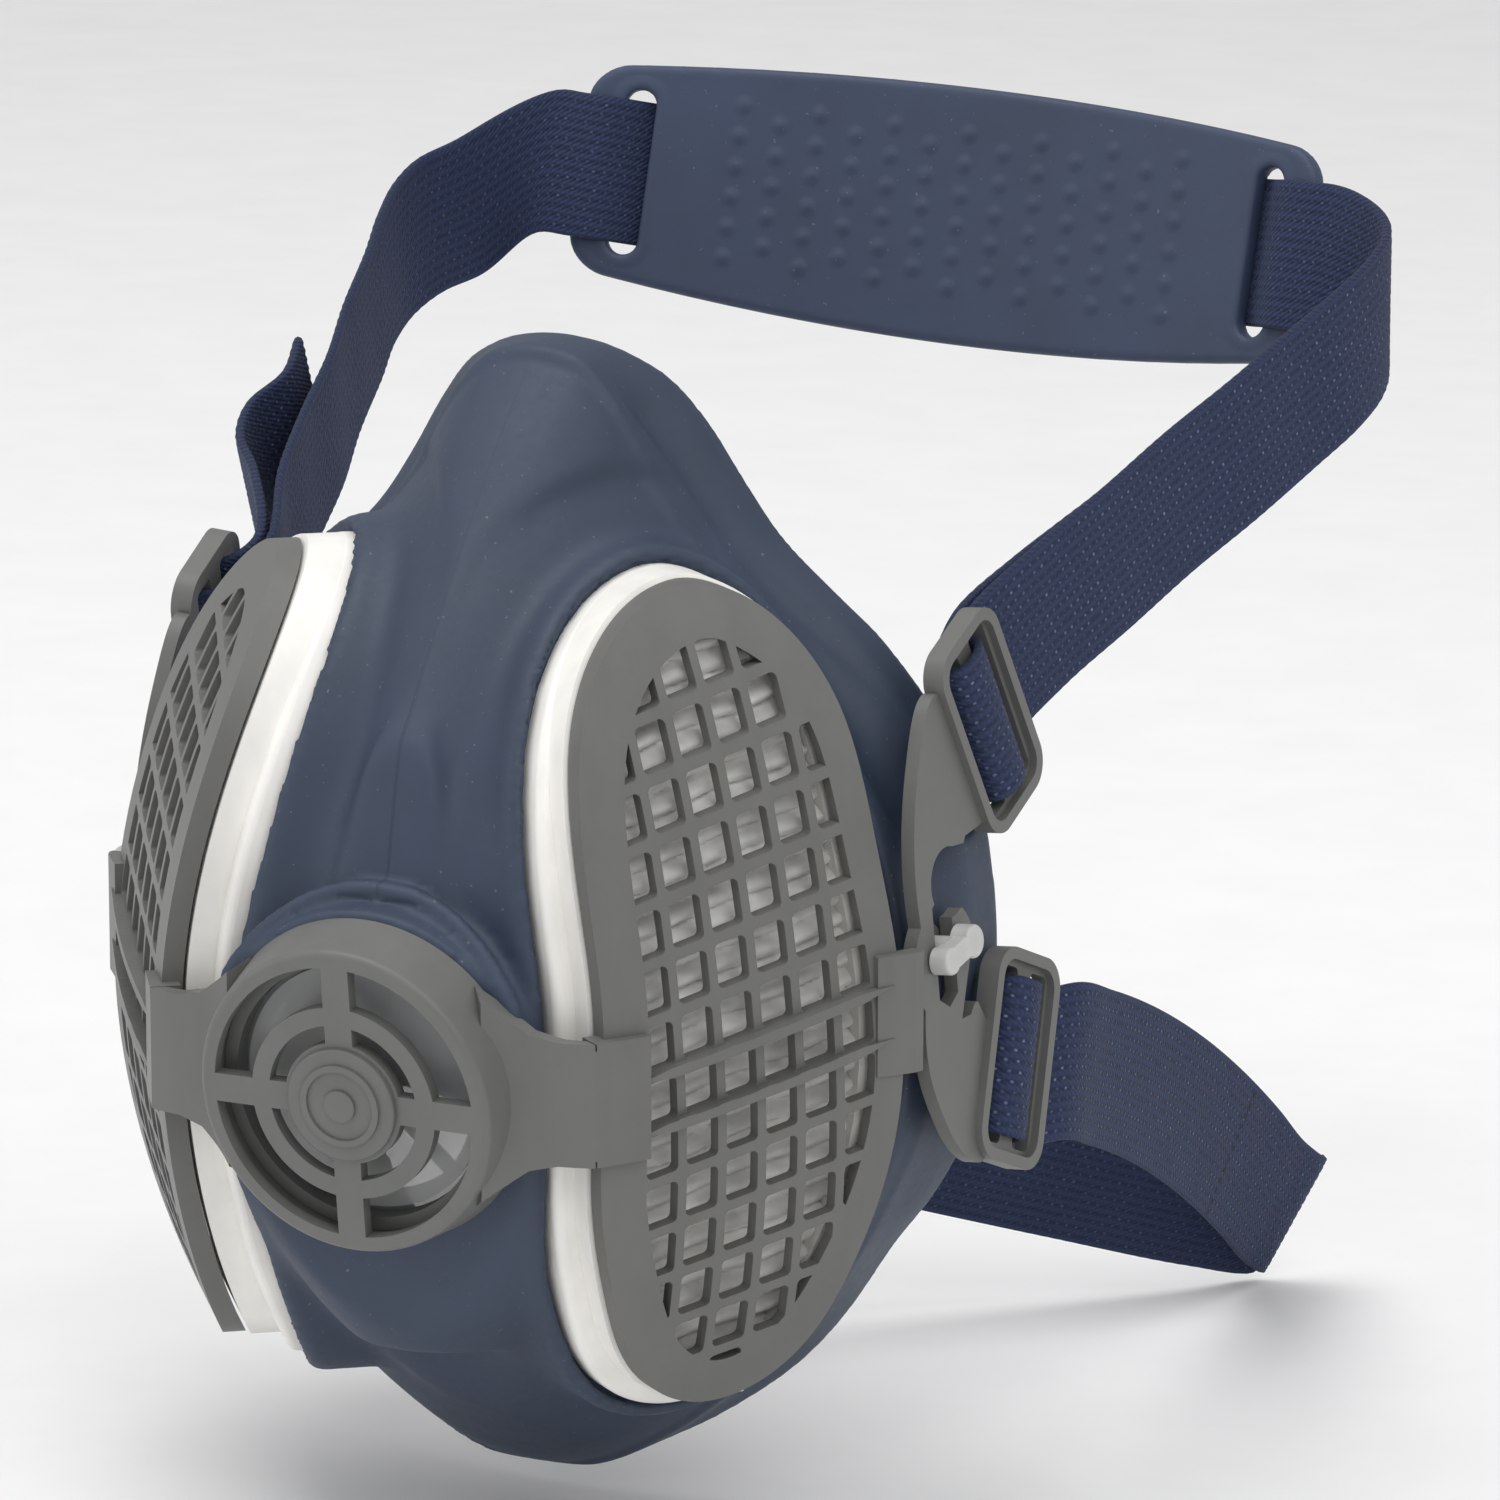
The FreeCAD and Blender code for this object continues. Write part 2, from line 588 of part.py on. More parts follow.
def keyed_slot():
    """Upright slot with pointed ends that the stud head passes when it is turned."""
    x, z = STUD
    half = 5.7
    points = ((x, z + half + 1.4), (x + 2.3, z + half), (x + 2.3, z - half), (x, z - half - 1.4),
              (x - 2.3, z - half), (x - 2.3, z + half))
    return polygon_prism(points, -5, 10)


def latch_stud():
    """Quarter-turn stud: round shank and a two-lobed head that lies across the slot."""
    x, z = STUD
    shank = Part.makeCylinder(1.8, 6.4, V(x, -0.8, z), Y_AXIS)
    bar = box(x - 3.2, x + 3.2, -3.0, -0.3, z - 1.4, z + 1.4)
    near = Part.makeCylinder(2.1, 2.7, V(x + 2.8, -3.0, z), Y_AXIS)
    far = Part.makeCylinder(1.7, 2.7, V(x - 3.0, -3.0, z), Y_AXIS)
    head = fuse([bar, near, far])
    head.rotate(V(x, 0, z), Y_AXIS, -12)
    head = soften(head, 0.6, lambda e: e.BoundBox.YMax < -2.9)
    return head.fuse(shank).removeSplitter()


def stud_socket():
    """Rigid boss in the cheek that the stud turns in."""
    x, z = STUD
    boss = Part.makeCylinder(3.2, 4.6, V(x, YOKE_THICKNESS + 0.3, z), Y_AXIS)
    return boss.cut(Part.makeCylinder(2.0, 4.0, V(x, YOKE_THICKNESS, z), Y_AXIS))


# ---------------------------------------------------------------- harness

def web_section(at, run, up):
    """Outline of the webbing where its run passes a point, with its width along up."""
    across = V(up.x, up.y, up.z).normalize()
    through = run.cross(across).normalize()
    half_w = across * (WEB_WIDTH / 2)
    half_t = through * (WEB_THICKNESS / 2)
    corners = [at + half_w + half_t, at - half_w + half_t, at - half_w - half_t, at + half_w - half_t]
    return Part.makePolygon(corners + corners[:1])


def web_between(a, b, up_a, up_b, rise=0.0):
    """Length of webbing whose width turns from up_a to up_b, bowed upwards by rise."""
    run = (b - a).normalize()
    sections = [web_section(a, run, up_a)]
    if rise:
        middle = (a + b) * 0.5 + V(0, 0, rise)
        sections.append(web_section(middle, run, (up_a.normalize() + up_b.normalize()) * 0.5))
    sections.append(web_section(b, run, up_b))
    return Part.makeLoft(sections, True, True)


def curved_band(plan, top_edge, low_edge):
    """Webbing that curves in plan and keeps its width upright, between two side-view edges."""
    half = WEB_THICKNESS / 2
    spine = Part.BSplineCurve()
    spine.interpolate([V(x, y, 0) for x, y in plan])
    count = 14
    left = []
    right = []
    for k in range(count + 1):
        u = spine.FirstParameter + (spine.LastParameter - spine.FirstParameter) * k / count
        at = spine.value(u)
        side = spine.tangent(u)[0].cross(Z_AXIS) * half
        left.append(at + side)
        right.append(at - side)
    sides = []
    for points in (left, right):
        curve = Part.BSplineCurve()
        curve.interpolate(points)
        sides.append(curve.toShape())
    edges = [sides[0], Part.makeLine(left[-1], right[-1]), sides[1], Part.makeLine(right[0], left[0])]
    face = Part.Face(Part.Wire(Part.sortEdges(edges)[0]))
    slab = face.extrude(V(0, 0, 120))
    slab.translate(V(0, 0, -10))
    outline = [V(0, y, z) for y, z in top_edge] + [V(0, y, z) for y, z in reversed(low_edge)]
    side_view = Part.Face(Part.makePolygon(outline + outline[:1])).extrude(V(120, 0, 0))
    return slab.common(side_view)


def upper_strap():
    """From just behind the yoke out round the temple to the pad slot."""
    plan = ((53.8, 33.3), (60.5, 60.0), (67.5, 85.0), (71.2, 101.0), (67.5, 113.0), (61.5, 118.6),
            (55.9, 120.6))
    middle = ((33.0, 36.2), (60.0, 46.2), (85.0, 55.4), (101.0, 61.6), (112.0, 66.0), (126.0, 67.5))
    top = [(y, z + 10.7) for y, z in middle]
    low = [(y, z - 10.7) for y, z in middle]
    return curved_band(plan, top, low)


def upper_strap_end():
    """Length between the yoke crossbar and the free run; it bends when the harness swings."""
    return web_between(V(49.7, 14.4, 27.6), V(53.5, 32.4, 36.0), V(-0.14, -0.41, 0.9), V(0, 0, 1))


def upper_strap_wrap():
    """Turn of webbing round the crossbar of the upper loop."""
    return crossbar_wrap(UPPER_LOOP)


def neck_strap_wrap():
    return crossbar_wrap(LOWER_LOOP)


def crossbar_wrap(loop):
    outer = box(-3.3, 3.5, -1.9, 3.1, -WEB_WIDTH / 2, WEB_WIDTH / 2)
    outer = soften(outer, 1.6, lambda e: abs(e.Length - WEB_WIDTH) < 1e-6)
    bar = box(-1.55, 1.75, -0.05, YOKE_THICKNESS + 0.05, -20, 20)
    return moved(outer.cut(bar), loop_placement(loop))


def upper_strap_tail(stand_off):
    """Free end of the strap, standing off beside the run."""
    start = V(54.0 + stand_off, 35.0, 37.0)
    end = V(60.5 + 1.5 * stand_off, 62.0, 47.0)
    return web_between(start, end, V(0, -0.35, 1), V(0, -0.35, 1))


def upper_strap_back():
    """Strap behind the head pad, between its two slots."""
    body = pad_shell(PAD_THICKNESS + 0.4, PAD_THICKNESS + 0.4 + WEB_THICKNESS)
    return moved(body.common(box(-46.0, 46.0, -40, 40, -10, 10)), pad_placement())


def pad_shell(depth_from, depth_to):
    outer = Part.makeCylinder(PAD_BOW_RADIUS + depth_to, 80, V(0, -PAD_BOW_RADIUS, -40), Z_AXIS)
    inner = Part.makeCylinder(PAD_BOW_RADIUS + depth_from, 82, V(0, -PAD_BOW_RADIUS, -41), Z_AXIS)
    return outer.cut(inner).common(box(-80, 80, -40, 40, -60, 60))


def head_pad():
    """Curved pad, taller in the middle, with a slot at each end."""
    half = PAD_HALF_LENGTH
    upper = Part.Arc(V(-half, -40, 14.1), V(0, -40, 17.7), V(half, -40, 14.1)).toShape()
    right = Part.makeLine(V(half, -40, 14.1), V(half, -40, -14.1))
    lower = Part.Arc(V(half, -40, -14.1), V(0, -40, -17.7), V(-half, -40, -14.1)).toShape()
    left = Part.makeLine(V(-half, -40, -14.1), V(-half, -40, 14.1))
    outline = Part.Face(Part.Wire([upper, right, lower, left])).extrude(V(0, 80, 0))
    outline = soften(outline, 5.0, lambda e: abs(e.Length - 80) < 1e-6)
    body = pad_shell(0.0, PAD_THICKNESS).common(outline)
    slots = []
    for x in (-PAD_SLOT_X, PAD_SLOT_X):
        slot = box(x - 2.1, x + 2.1, -40, 40, -11.5, 11.5)
        slots.append(soften(slot, 2.0, lambda e: abs(e.Length - 80) < 1e-6))
    return moved(body.cut(slots), pad_placement())


def neck_strap_right():
    """Near band, straight back to the fold."""
    end = NECK_FOLD + V(0.6, -1.6, 0.5)
    return web_between(NECK_START, end, V(-0.05, 0.35, 0.93), NECK_FOLD_UP, 4.5)


def neck_strap_left():
    """Far band, from the fold back to the other yoke."""
    end = NECK_FOLD + V(-1.4, -1.2, -0.5)
    return web_between(LEFT_NECK_START, end, V(0.2, 0.2, 0.95), NECK_FOLD_UP)


def neck_strap_fold():
    bead = Part.makeCylinder(WEB_THICKNESS + 0.5, WEB_WIDTH, V(0, 0, -WEB_WIDTH / 2), Z_AXIS)
    turn = FreeCAD.Rotation(Z_AXIS, NECK_FOLD_UP)
    return moved(bead, FreeCAD.Placement(NECK_FOLD + V(0, 1.2, 0), turn))


def neck_end(side, start):
    """Length between the lower yoke loop and the free band."""
    near = V(side * 56.2, 19.0, -18.0)
    run = (start - near).normalize()
    return web_between(near, start - run * 0.6, V(-0.1 * side, 0.38, 0.91), V(0, 0.3, 0.93))


# ---------------------------------------------------------------- assembly

def port_parts():
    return {
        "port_seat": port_seat(),
        "inhalation_flap": inhalation_flap(),
        "filter_frame": filter_frame(),
        "filter_media": filter_media(),
        "filter_cover": filter_cover(),
        "hinge_web": hinge_web(),
    }


def yoke_parts():
    return {
        "yoke": yoke(),
        "latch_stud": latch_stud(),
        "stud_socket": stud_socket(),
        "upper_strap_wrap": upper_strap_wrap(),
        "neck_strap_wrap": neck_strap_wrap(),
    }


def valve_parts():
    return {
        "valve_hub_disc": valve_hub_disc(),
        "exhalation_valve_seat": exhalation_valve_seat(),
        "exhalation_valve_flap": exhalation_valve_flap(),
        "exhalation_valve_ring": exhalation_valve_ring(),
    }


def all_parts():
    parts = {"face_piece": face_piece(), "front_frame": front_frame(), "head_pad": head_pad(),
             "upper_strap_back": upper_strap_back(), "neck_strap_fold": neck_strap_fold(),
             "right_neck_strap": neck_strap_right(), "left_neck_strap": neck_strap_left(),
             "right_neck_strap_end": neck_end(1, NECK_START),
             "left_neck_strap_end": neck_end(-1, LEFT_NECK_START),
             "right_upper_strap_tail": upper_strap_tail(-2.4),
             "left_upper_strap_tail": mirrored(upper_strap_tail(2.4))}
    for name, shape in valve_parts().items():
        parts[name] = moved(shape, valve_placement())
    sided = {name: moved(shape, port_placement()) for name, shape in port_parts().items()}
    sided.update({name: moved(shape, yoke_placement()) for name, shape in yoke_parts().items()})
    sided["upper_strap"] = upper_strap()
    sided["upper_strap_end"] = upper_strap_end()
    for name, shape in sided.items():
        parts["right_" + name] = shape
        parts["left_" + name] = mirrored(shape)
    return parts


os.makedirs("parts", exist_ok=True)
for node, shape in all_parts().items():
    shape.exportStep("parts/" + node + ".step")
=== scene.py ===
import itertools
import json
import math

import bpy
import numpy as np
from mathutils import Matrix, Vector


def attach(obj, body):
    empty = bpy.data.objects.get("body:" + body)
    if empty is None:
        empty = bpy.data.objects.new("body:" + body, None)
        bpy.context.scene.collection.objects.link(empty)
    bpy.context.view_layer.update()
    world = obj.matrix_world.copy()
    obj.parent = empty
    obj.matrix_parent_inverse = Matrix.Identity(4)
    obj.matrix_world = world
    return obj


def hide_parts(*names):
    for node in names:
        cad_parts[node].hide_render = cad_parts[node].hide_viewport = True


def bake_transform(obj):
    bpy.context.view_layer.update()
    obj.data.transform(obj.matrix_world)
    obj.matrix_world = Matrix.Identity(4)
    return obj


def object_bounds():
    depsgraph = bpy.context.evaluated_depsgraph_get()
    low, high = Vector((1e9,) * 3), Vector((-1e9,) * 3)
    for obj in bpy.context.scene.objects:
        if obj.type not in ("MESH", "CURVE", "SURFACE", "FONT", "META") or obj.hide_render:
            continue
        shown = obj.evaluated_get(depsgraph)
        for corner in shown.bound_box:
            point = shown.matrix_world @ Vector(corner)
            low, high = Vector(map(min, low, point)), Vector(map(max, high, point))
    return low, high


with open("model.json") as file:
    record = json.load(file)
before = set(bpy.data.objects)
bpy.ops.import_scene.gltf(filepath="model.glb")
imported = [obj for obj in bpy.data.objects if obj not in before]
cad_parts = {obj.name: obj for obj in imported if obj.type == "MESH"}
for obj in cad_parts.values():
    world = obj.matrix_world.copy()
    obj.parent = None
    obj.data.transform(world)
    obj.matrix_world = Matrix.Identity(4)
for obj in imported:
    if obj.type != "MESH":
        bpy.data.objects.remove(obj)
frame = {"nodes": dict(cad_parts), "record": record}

CAD_BOX = [list(corner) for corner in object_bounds()]
MM = 0.001
UP = np.array([0, 0, 1.0])

# ---------------------------------------------------------------- face piece field, in millimetres
# +X is the right-hand side, -Y is forward and +Z is up; the origin is in the middle of the seal
STEP = 0.85
# a filter port: its middle on the cover's face, the way back along it, the way in, and its outline
PORT_ORIGIN = np.array([44.6, -26.3, -9.0])
PORT_ALONG = np.array([0.6, 0.8, 0.0])
PORT_IN = np.array([-0.8, 0.6, 0.0])
PORT_OUTLINE = ((-4.5, 57.2), (-14.5, 53.0), (-21.8, 44.0), (-24.9, 30.0), (-24.3, 8.0), (-24.4, -13.0),
                (-20.7, -28.0), (-14.0, -39.4), (-5.5, -43.2), (4.0, -39.8), (11.0, -28.0), (15.9, -8.0),
                (16.2, 8.0), (14.2, 28.0), (11.2, 46.0), (4.5, 54.5))
BOW_RADIUS = 100.0
# the exhalation valve: the middle of its guard's front, the way out, and the way up across it
VALVE_CENTRE = np.array([0.0, -55.4, -10.4])
VALVE_OUT = np.array([0.0, -0.99255, -0.12187])
VALVE_UP = np.array([0.0, -0.12187, 0.99255])
# the rear edge, from the side, is an arc with this rise over this half height
FACE_REACH = 18.0
FACE_HALF_HEIGHT = 73.0
# thickness of the dome and of the in-turned seal, and how far in front of that edge the crease lies
WALL = 2.5
SEAL_LIP = 1.9
CREASE_PLACE = 8.6
# depths under the cover's face: ledge of the filter's pocket, end of the collar, end of the boss
PORT_LEDGE_DEPTH = 11.6
COLLAR_DEPTH = 17.2
BOSS_LENGTH = 34
# how far the hole lies inside the port's outline, and the valley over the port outside it
PORT_HOLE_INSET = 0.9
VALLEY_PLACE = 8.8
# radii about the valve's axis, and how far back the barrel and its bore reach
BARREL_RADIUS = 21.3
VALVE_BORE = 18.2
VALVE_REACH = 24
# depth in front of the origin plane, upper end, lower end, half width
SECTIONS = ((-24, 73, -73, 54), (0, 72.6, -72.6, 54), (3.5, 70.6, -71.4, 53), (8, 66.6, -68.8, 51),
            (13, 61.8, -64.6, 47.5), (20, 54.0, -58.5, 41), (28, 45, -53.5, 34), (36, 34.6, -49.5, 28),
            (41, 27.5, -46.0, 25), (44.3, 13.4, -41, 22), (46.5, 4, -35, 20), (50, -6, -28, 17))
# share of the half width, share of the height below the top: flared at the seal, plain in front
SEAL_SHAPE = ((0.0, 0.0), (0.100, 0.0030), (0.180, 0.013), (0.257, 0.030), (0.335, 0.070), (0.415, 0.120),
              (0.510, 0.170), (0.650, 0.219), (0.750, 0.256), (0.875, 0.322), (0.963, 0.391), (0.998, 0.479),
              (1.0, 0.555), (0.963, 0.664), (0.890, 0.730), (0.796, 0.781), (0.700, 0.842), (0.590, 0.897),
              (0.461, 0.943), (0.370, 0.966), (0.180, 0.991), (0.0, 1.0))
DOME_SHAPE = ((0.0, 0.0), (0.065, 0.003), (0.130, 0.012), (0.200, 0.038), (0.262, 0.075), (0.322, 0.112),
              (0.383, 0.150), (0.460, 0.197), (0.570, 0.245), (0.740, 0.315), (0.900, 0.400), (0.965, 0.475),
              (1.0, 0.550), (0.975, 0.640), (0.900, 0.710), (0.820, 0.765), (0.720, 0.820), (0.600, 0.870),
              (0.470, 0.915), (0.330, 0.955), (0.170, 0.988), (0.0, 1.0))


def spline(points, count, closed=False):
    """Catmull-Rom points along a polyline, an equal number on every span."""
    p = np.asarray(points, float)
    if closed:
        p = np.vstack([p[-1:], p, p[:2]])
    else:
        p = np.vstack([2 * p[0] - p[1], p, 2 * p[-1] - p[-2]])
    t = np.linspace(0, 1, count, endpoint=False)[:, None]
    out = []
    for a, b, c, d in zip(p[:-3], p[1:-2], p[2:-1], p[3:]):
        out.append(0.5 * (2 * b + (c - a) * t + (2 * a - 5 * b + 4 * c - d) * t ** 2
                          + (3 * b - a - 3 * c + d) * t ** 3))
    if not closed:
        out.append(p[-2:-1])
    return np.vstack(out)


def outline_distance(px, py, outline):
    """Signed distance to a closed outline, negative inside."""
    shape = np.broadcast(px, py).shape
    x = np.broadcast_to(px, shape).ravel()
    y = np.broadcast_to(py, shape).ravel()
    best = np.full(x.size, 1e9)
    inside = np.zeros(x.size, bool)
    ends = np.roll(outline, -1, axis=0)
    for (ax, ay), (bx, by) in zip(outline, ends):
        dx, dy = bx - ax, by - ay
        length = dx * dx + dy * dy
        if length < 1e-12:
            continue
        t = np.clip(((x - ax) * dx + (y - ay) * dy) / length, 0, 1)
        best = np.minimum(best, (x - ax - t * dx) ** 2 + (y - ay - t * dy) ** 2)
        if ay != by:
            crosses = ((ay > y) != (by > y)) & (x < ax + (y - ay) * dx / (by - ay))
            inside ^= crosses
    best = np.sqrt(best)
    return np.where(inside, -best, best).reshape(shape)


def soft_min(a, b, k):
    """The lower of two fields, blended over a band of width k."""
    h = np.clip(0.5 + 0.5 * (b - a) / k, 0, 1)
    return b + (a - b) * h - k * h * (1 - h)


def soft_max(a, b, k):
    """The higher of two fields, blended over a band of width k."""
    return -soft_min(-a, -b, k)


def ramp(x, low, high):
    """Smooth step from 0 at low to 1 at high."""
    t = np.clip((x - low) / (high - low), 0, 1)
    return t * t * (3 - 2 * t)


def bell(x, middle, width):
    """Smooth bump of height 1 about its middle."""
    return np.exp(-((x - middle) / width) ** 2)


def sampled(table, xs, ys, x, y):
    """Bilinear reading of a table over (xs, ys)."""
    u = np.clip((x - xs[0]) / (xs[1] - xs[0]), 0, len(xs) - 1.001)
    v = np.clip((y - ys[0]) / (ys[1] - ys[0]), 0, len(ys) - 1.001)
    i, j = u.astype(int), v.astype(int)
    u, v = u - i, v - j
    return (table[i, j] * (1 - u) * (1 - v) + table[i + 1, j] * u * (1 - v)
            + table[i, j + 1] * (1 - u) * v + table[i + 1, j + 1] * u * v)


def face_outline(depth, top, bottom, width):
    """Outline of one upright slice, flared at the seal and plain in front of it."""
    mix = float(ramp(depth, -9.0, 1.5))
    shape = np.array(SEAL_SHAPE) * (1 - mix) + np.array(DOME_SHAPE) * mix
    right = np.stack([shape[:, 0] * width, top - shape[:, 1] * (top - bottom)], 1)
    left = right[-2:0:-1] * (-1, 1)
    return spline(np.vstack([right, left]), 4, closed=True)


def dome_field(X, Y, Z):
    """The domed wall as slices stacked from the seal to the front."""
    field = np.empty((len(X), len(Y), len(Z)))
    dense = spline(np.array(SECTIONS, float), 12)
    for j, y in enumerate(Y):
        top, bottom, width = (np.interp(-y, dense[:, 0], dense[:, k]) for k in (1, 2, 3))
        field[:, j, :] = outline_distance(X[:, None], Z[None, :], face_outline(-y, top, bottom, width))
    slope = np.sqrt(sum(g ** 2 for g in np.gradient(field, STEP)))
    return field / np.maximum(slope, 0.8)


def rear_edge(z):
    """How far back the sealing edge lies at each height; it runs further back at the nose."""
    radius = (FACE_HALF_HEIGHT ** 2 + FACE_REACH ** 2) / (2 * FACE_REACH)
    return FACE_REACH - radius + np.sqrt(np.maximum(radius ** 2 - z ** 2, 1)) + 5.0 * ramp(z, 38, 68)


def port_fields(x, y, z):
    """Distance from the port outline, depth under the cover's bowed face, and place on that face."""
    rel = [x - PORT_ORIGIN[0], y - PORT_ORIGIN[1], z - PORT_ORIGIN[2]]
    s = rel[0] * PORT_ALONG[0] + rel[1] * PORT_ALONG[1]
    deep = rel[0] * PORT_IN[0] + rel[1] * PORT_IN[1]
    h = rel[2] + 0 * s
    ss = np.arange(-62, 62.1, 0.8)
    hh = np.arange(-90, 100.1, 0.8)
    table = outline_distance(ss[:, None], hh[None, :], spline(PORT_OUTLINE, 6, closed=True))
    return sampled(table, ss, hh, s, h), deep - h ** 2 / (2 * BOW_RADIUS), s, h


def valve_fields(x, y, z):
    """Depth behind the front of the guard, radius about the valve's axis, and angle from straight up."""
    ox, oy, oz = x - VALVE_CENTRE[0], y - VALVE_CENTRE[1], z - VALVE_CENTRE[2]
    depth = -(oy * VALVE_OUT[1] + oz * VALVE_OUT[2]) + 0 * x
    up = oy * VALVE_UP[1] + oz * VALVE_UP[2] + 0 * x
    return depth, np.sqrt(ox ** 2 + up ** 2), np.arctan2(np.abs(ox) + 0 * up, up)


def cut_chamber(outer, x, y, z):
    """Lower edge of the chamber above the chin, and the flat strip down the middle of the nose."""
    floor = -46.0 - 0.011 * x ** 2 - 26 * ramp(y, -34, -6) - z
    outer = soft_max(outer, floor, 2.0)
    strip = -0.976 * (y + 41.1) + 0.218 * (z - 27.5) + 0.5
    near = (np.abs(x) < 12) & (z > 8) & (z < 60)
    return np.where(near, soft_max(outer, strip + 0 * x, 0.8), outer)


def add_port_boss(outer, g, deep, s, h, crown):
    """Boss with a rolled lip round the port, and the shallow valley that arches over it."""
    flare = 0.28 * ramp(h, -34, -8) * crown * np.clip(deep - 9, 0, 12)
    boss = soft_max(g - 2.2 - 3.2 * crown - flare, 9.8 - 1.2 * crown - deep, 2.4)
    boss = np.maximum(boss, deep - BOSS_LENGTH)
    blend = 2.0 + 3.2 * ramp(h, -30, 0) * crown
    outer = soft_min(outer, boss, blend)
    valley = np.where(g < VALLEY_PLACE, bell(g, VALLEY_PLACE, 3.2), bell(g, VALLEY_PLACE, 1.7))
    return outer + 1.4 * valley * ramp(h, 2, 24) * (1 - ramp(s, -2, 8)) * bell(deep, 10, 9)


def add_valve_barrel(outer, depth, radius, angle):
    """Barrel under the valve guard, and the raised edge of its hood, which falls away at the sides."""
    barrel = np.maximum(radius - BARREL_RADIUS, np.maximum(8.0 - depth, depth - VALVE_REACH))
    outer = soft_min(outer, barrel, 1.0)
    reach = 21.9 - 0.5 * ramp(angle, 0.1, 1.1)
    sink = 13.2 - 5.0 * ramp(angle, 0.15, 1.25)
    thick = 1.15 * (1 - ramp(angle, 1.0, 1.35))
    bead = np.sqrt((radius - reach - 0.5) ** 2 + (depth - sink) ** 2) - thick
    return soft_min(outer, bead, 0.8)


def face_field(X, Y, Z):
    """Signed distance to the face piece over the grid, negative in the rubber."""
    x, y, z = X[:, None, None], Y[None, :, None], Z[None, None, :]
    depth, radius, angle = valve_fields(x, y, z)
    g, deep, s, h = port_fields(x, y, z)
    # 1 along most of the port, falling off towards its upper end, where the lip is narrow
    crown = 1 - 0.85 * ramp(h, 16, 54)
    outer = cut_chamber(dome_field(X, Y, Z), x, y, z)
    outer = add_port_boss(outer, g, deep, s, h, crown)
    outer = add_valve_barrel(outer, depth, radius, angle)
    # crease that sets the flange off from the dome, each side of the nose
    t = rear_edge(z) - y
    side = np.abs(x) + 0 * (y + z)
    crease = ramp(z, 24, 40) * ramp(side, 7.0, 13.0) * (1 - ramp(z, 64, 71))
    past = t - CREASE_PLACE
    groove = np.where(past < 0, bell(t, CREASE_PLACE, 3.0), np.clip(1 - past / 1.5, 0, 1))
    shell = outer + WALL + 1.3 * crease * bell(t, CREASE_PLACE, 5.0)
    outer = outer + 0.9 * crease * groove
    outer = soft_max(outer, y - rear_edge(z), 2.2)
    # hollow inside, closed at the back by the in-turned seal
    inner = np.maximum(shell, np.maximum(10.4 - depth, y - rear_edge(z) + SEAL_LIP))
    field = np.maximum(outer, -inner)
    # collar inside each boss, which the port seat rests on
    collar = np.maximum(np.maximum(g - 3.6 * crown, PORT_LEDGE_DEPTH - deep), deep - COLLAR_DEPTH)
    field = soft_min(field, np.maximum(collar, np.maximum(outer, -1.0 - g)), 1.0)
    # the opening for the face, the pocket of the filter frame, the port itself and the valve's bore
    opening = outline_distance(X[:, None], Z[None, :], face_outline(30, 54.0, -60.0, 40.0))[:, None, :]
    field = np.maximum(field, -np.maximum(opening, -2 - y))
    field = soft_max(field, -np.maximum(g - 0.5 - 2.9 * crown, deep - PORT_LEDGE_DEPTH), 1.5)
    field = np.maximum(field, -np.maximum(g + PORT_HOLE_INSET, deep - 40))
    field = soft_max(field, -np.maximum(radius - VALVE_BORE, depth - VALVE_REACH), 0.5)
    return np.maximum(field, 7.5 - depth)


# ---------------------------------------------------------------- meshing

def surface_nets(field, origin, step):
    """Quad mesh of the zero level of a field, with one vertex in each cell it crosses."""
    low = field < 0
    cells_each_way = tuple(n - 1 for n in field.shape)
    total = np.zeros(cells_each_way + (3,))
    count = np.zeros(cells_each_way)
    for axis in range(3):
        a = field.take(np.arange(field.shape[axis] - 1), axis)
        b = field.take(np.arange(1, field.shape[axis]), axis)
        with np.errstate(divide="ignore", invalid="ignore"):
            t = np.where((a < 0) != (b < 0), a / (a - b), np.nan)
        others = [k for k in range(3) if k != axis]
        for p, q in itertools.product((0, 1), repeat=2):
            cut = [slice(None)] * 3
            cut[others[0]] = slice(p, field.shape[others[0]] - 1 + p)
            cut[others[1]] = slice(q, field.shape[others[1]] - 1 + q)
            part = t[tuple(cut)]
            ok = ~np.isnan(part)
            offset = np.zeros(part.shape + (3,))
            offset[..., axis] = np.where(ok, part, 0)
            offset[..., others[0]] = p
            offset[..., others[1]] = q
            total += np.where(ok[..., None], offset, 0)
            count += ok
    used = count > 0
    index = np.full(used.shape, -1)
    index[used] = np.arange(used.sum())
    cells = np.argwhere(used)
    verts = origin + step * (cells + total[used] / count[used][:, None])
    # one quad round each grid edge that crosses the level, turned to face outwards
    quads = []
    for axis in range(3):
        a = low.take(np.arange(field.shape[axis] - 1), axis)
        b = low.take(np.arange(1, field.shape[axis]), axis)
        cross = np.argwhere(a != b)
        others = [k for k in range(3) if k != axis]
        inner = np.all([(cross[:, k] > 0) & (cross[:, k] < field.shape[k] - 1) for k in others], axis=0)
        cross = cross[inner]
        starts = a[tuple(cross.T)]
        corners = []
        for p, q in ((1, 1), (0, 1), (0, 0), (1, 0)):
            c = cross.copy()
            c[:, others[0]] -= p
            c[:, others[1]] -= q
            corners.append(index[tuple(c.T)])
        corners = np.stack(corners, 1)
        flip = starts if axis != 1 else ~starts
        corners[~flip] = corners[~flip][:, ::-1]
        quads.append(corners)
    return verts, np.vstack(quads)


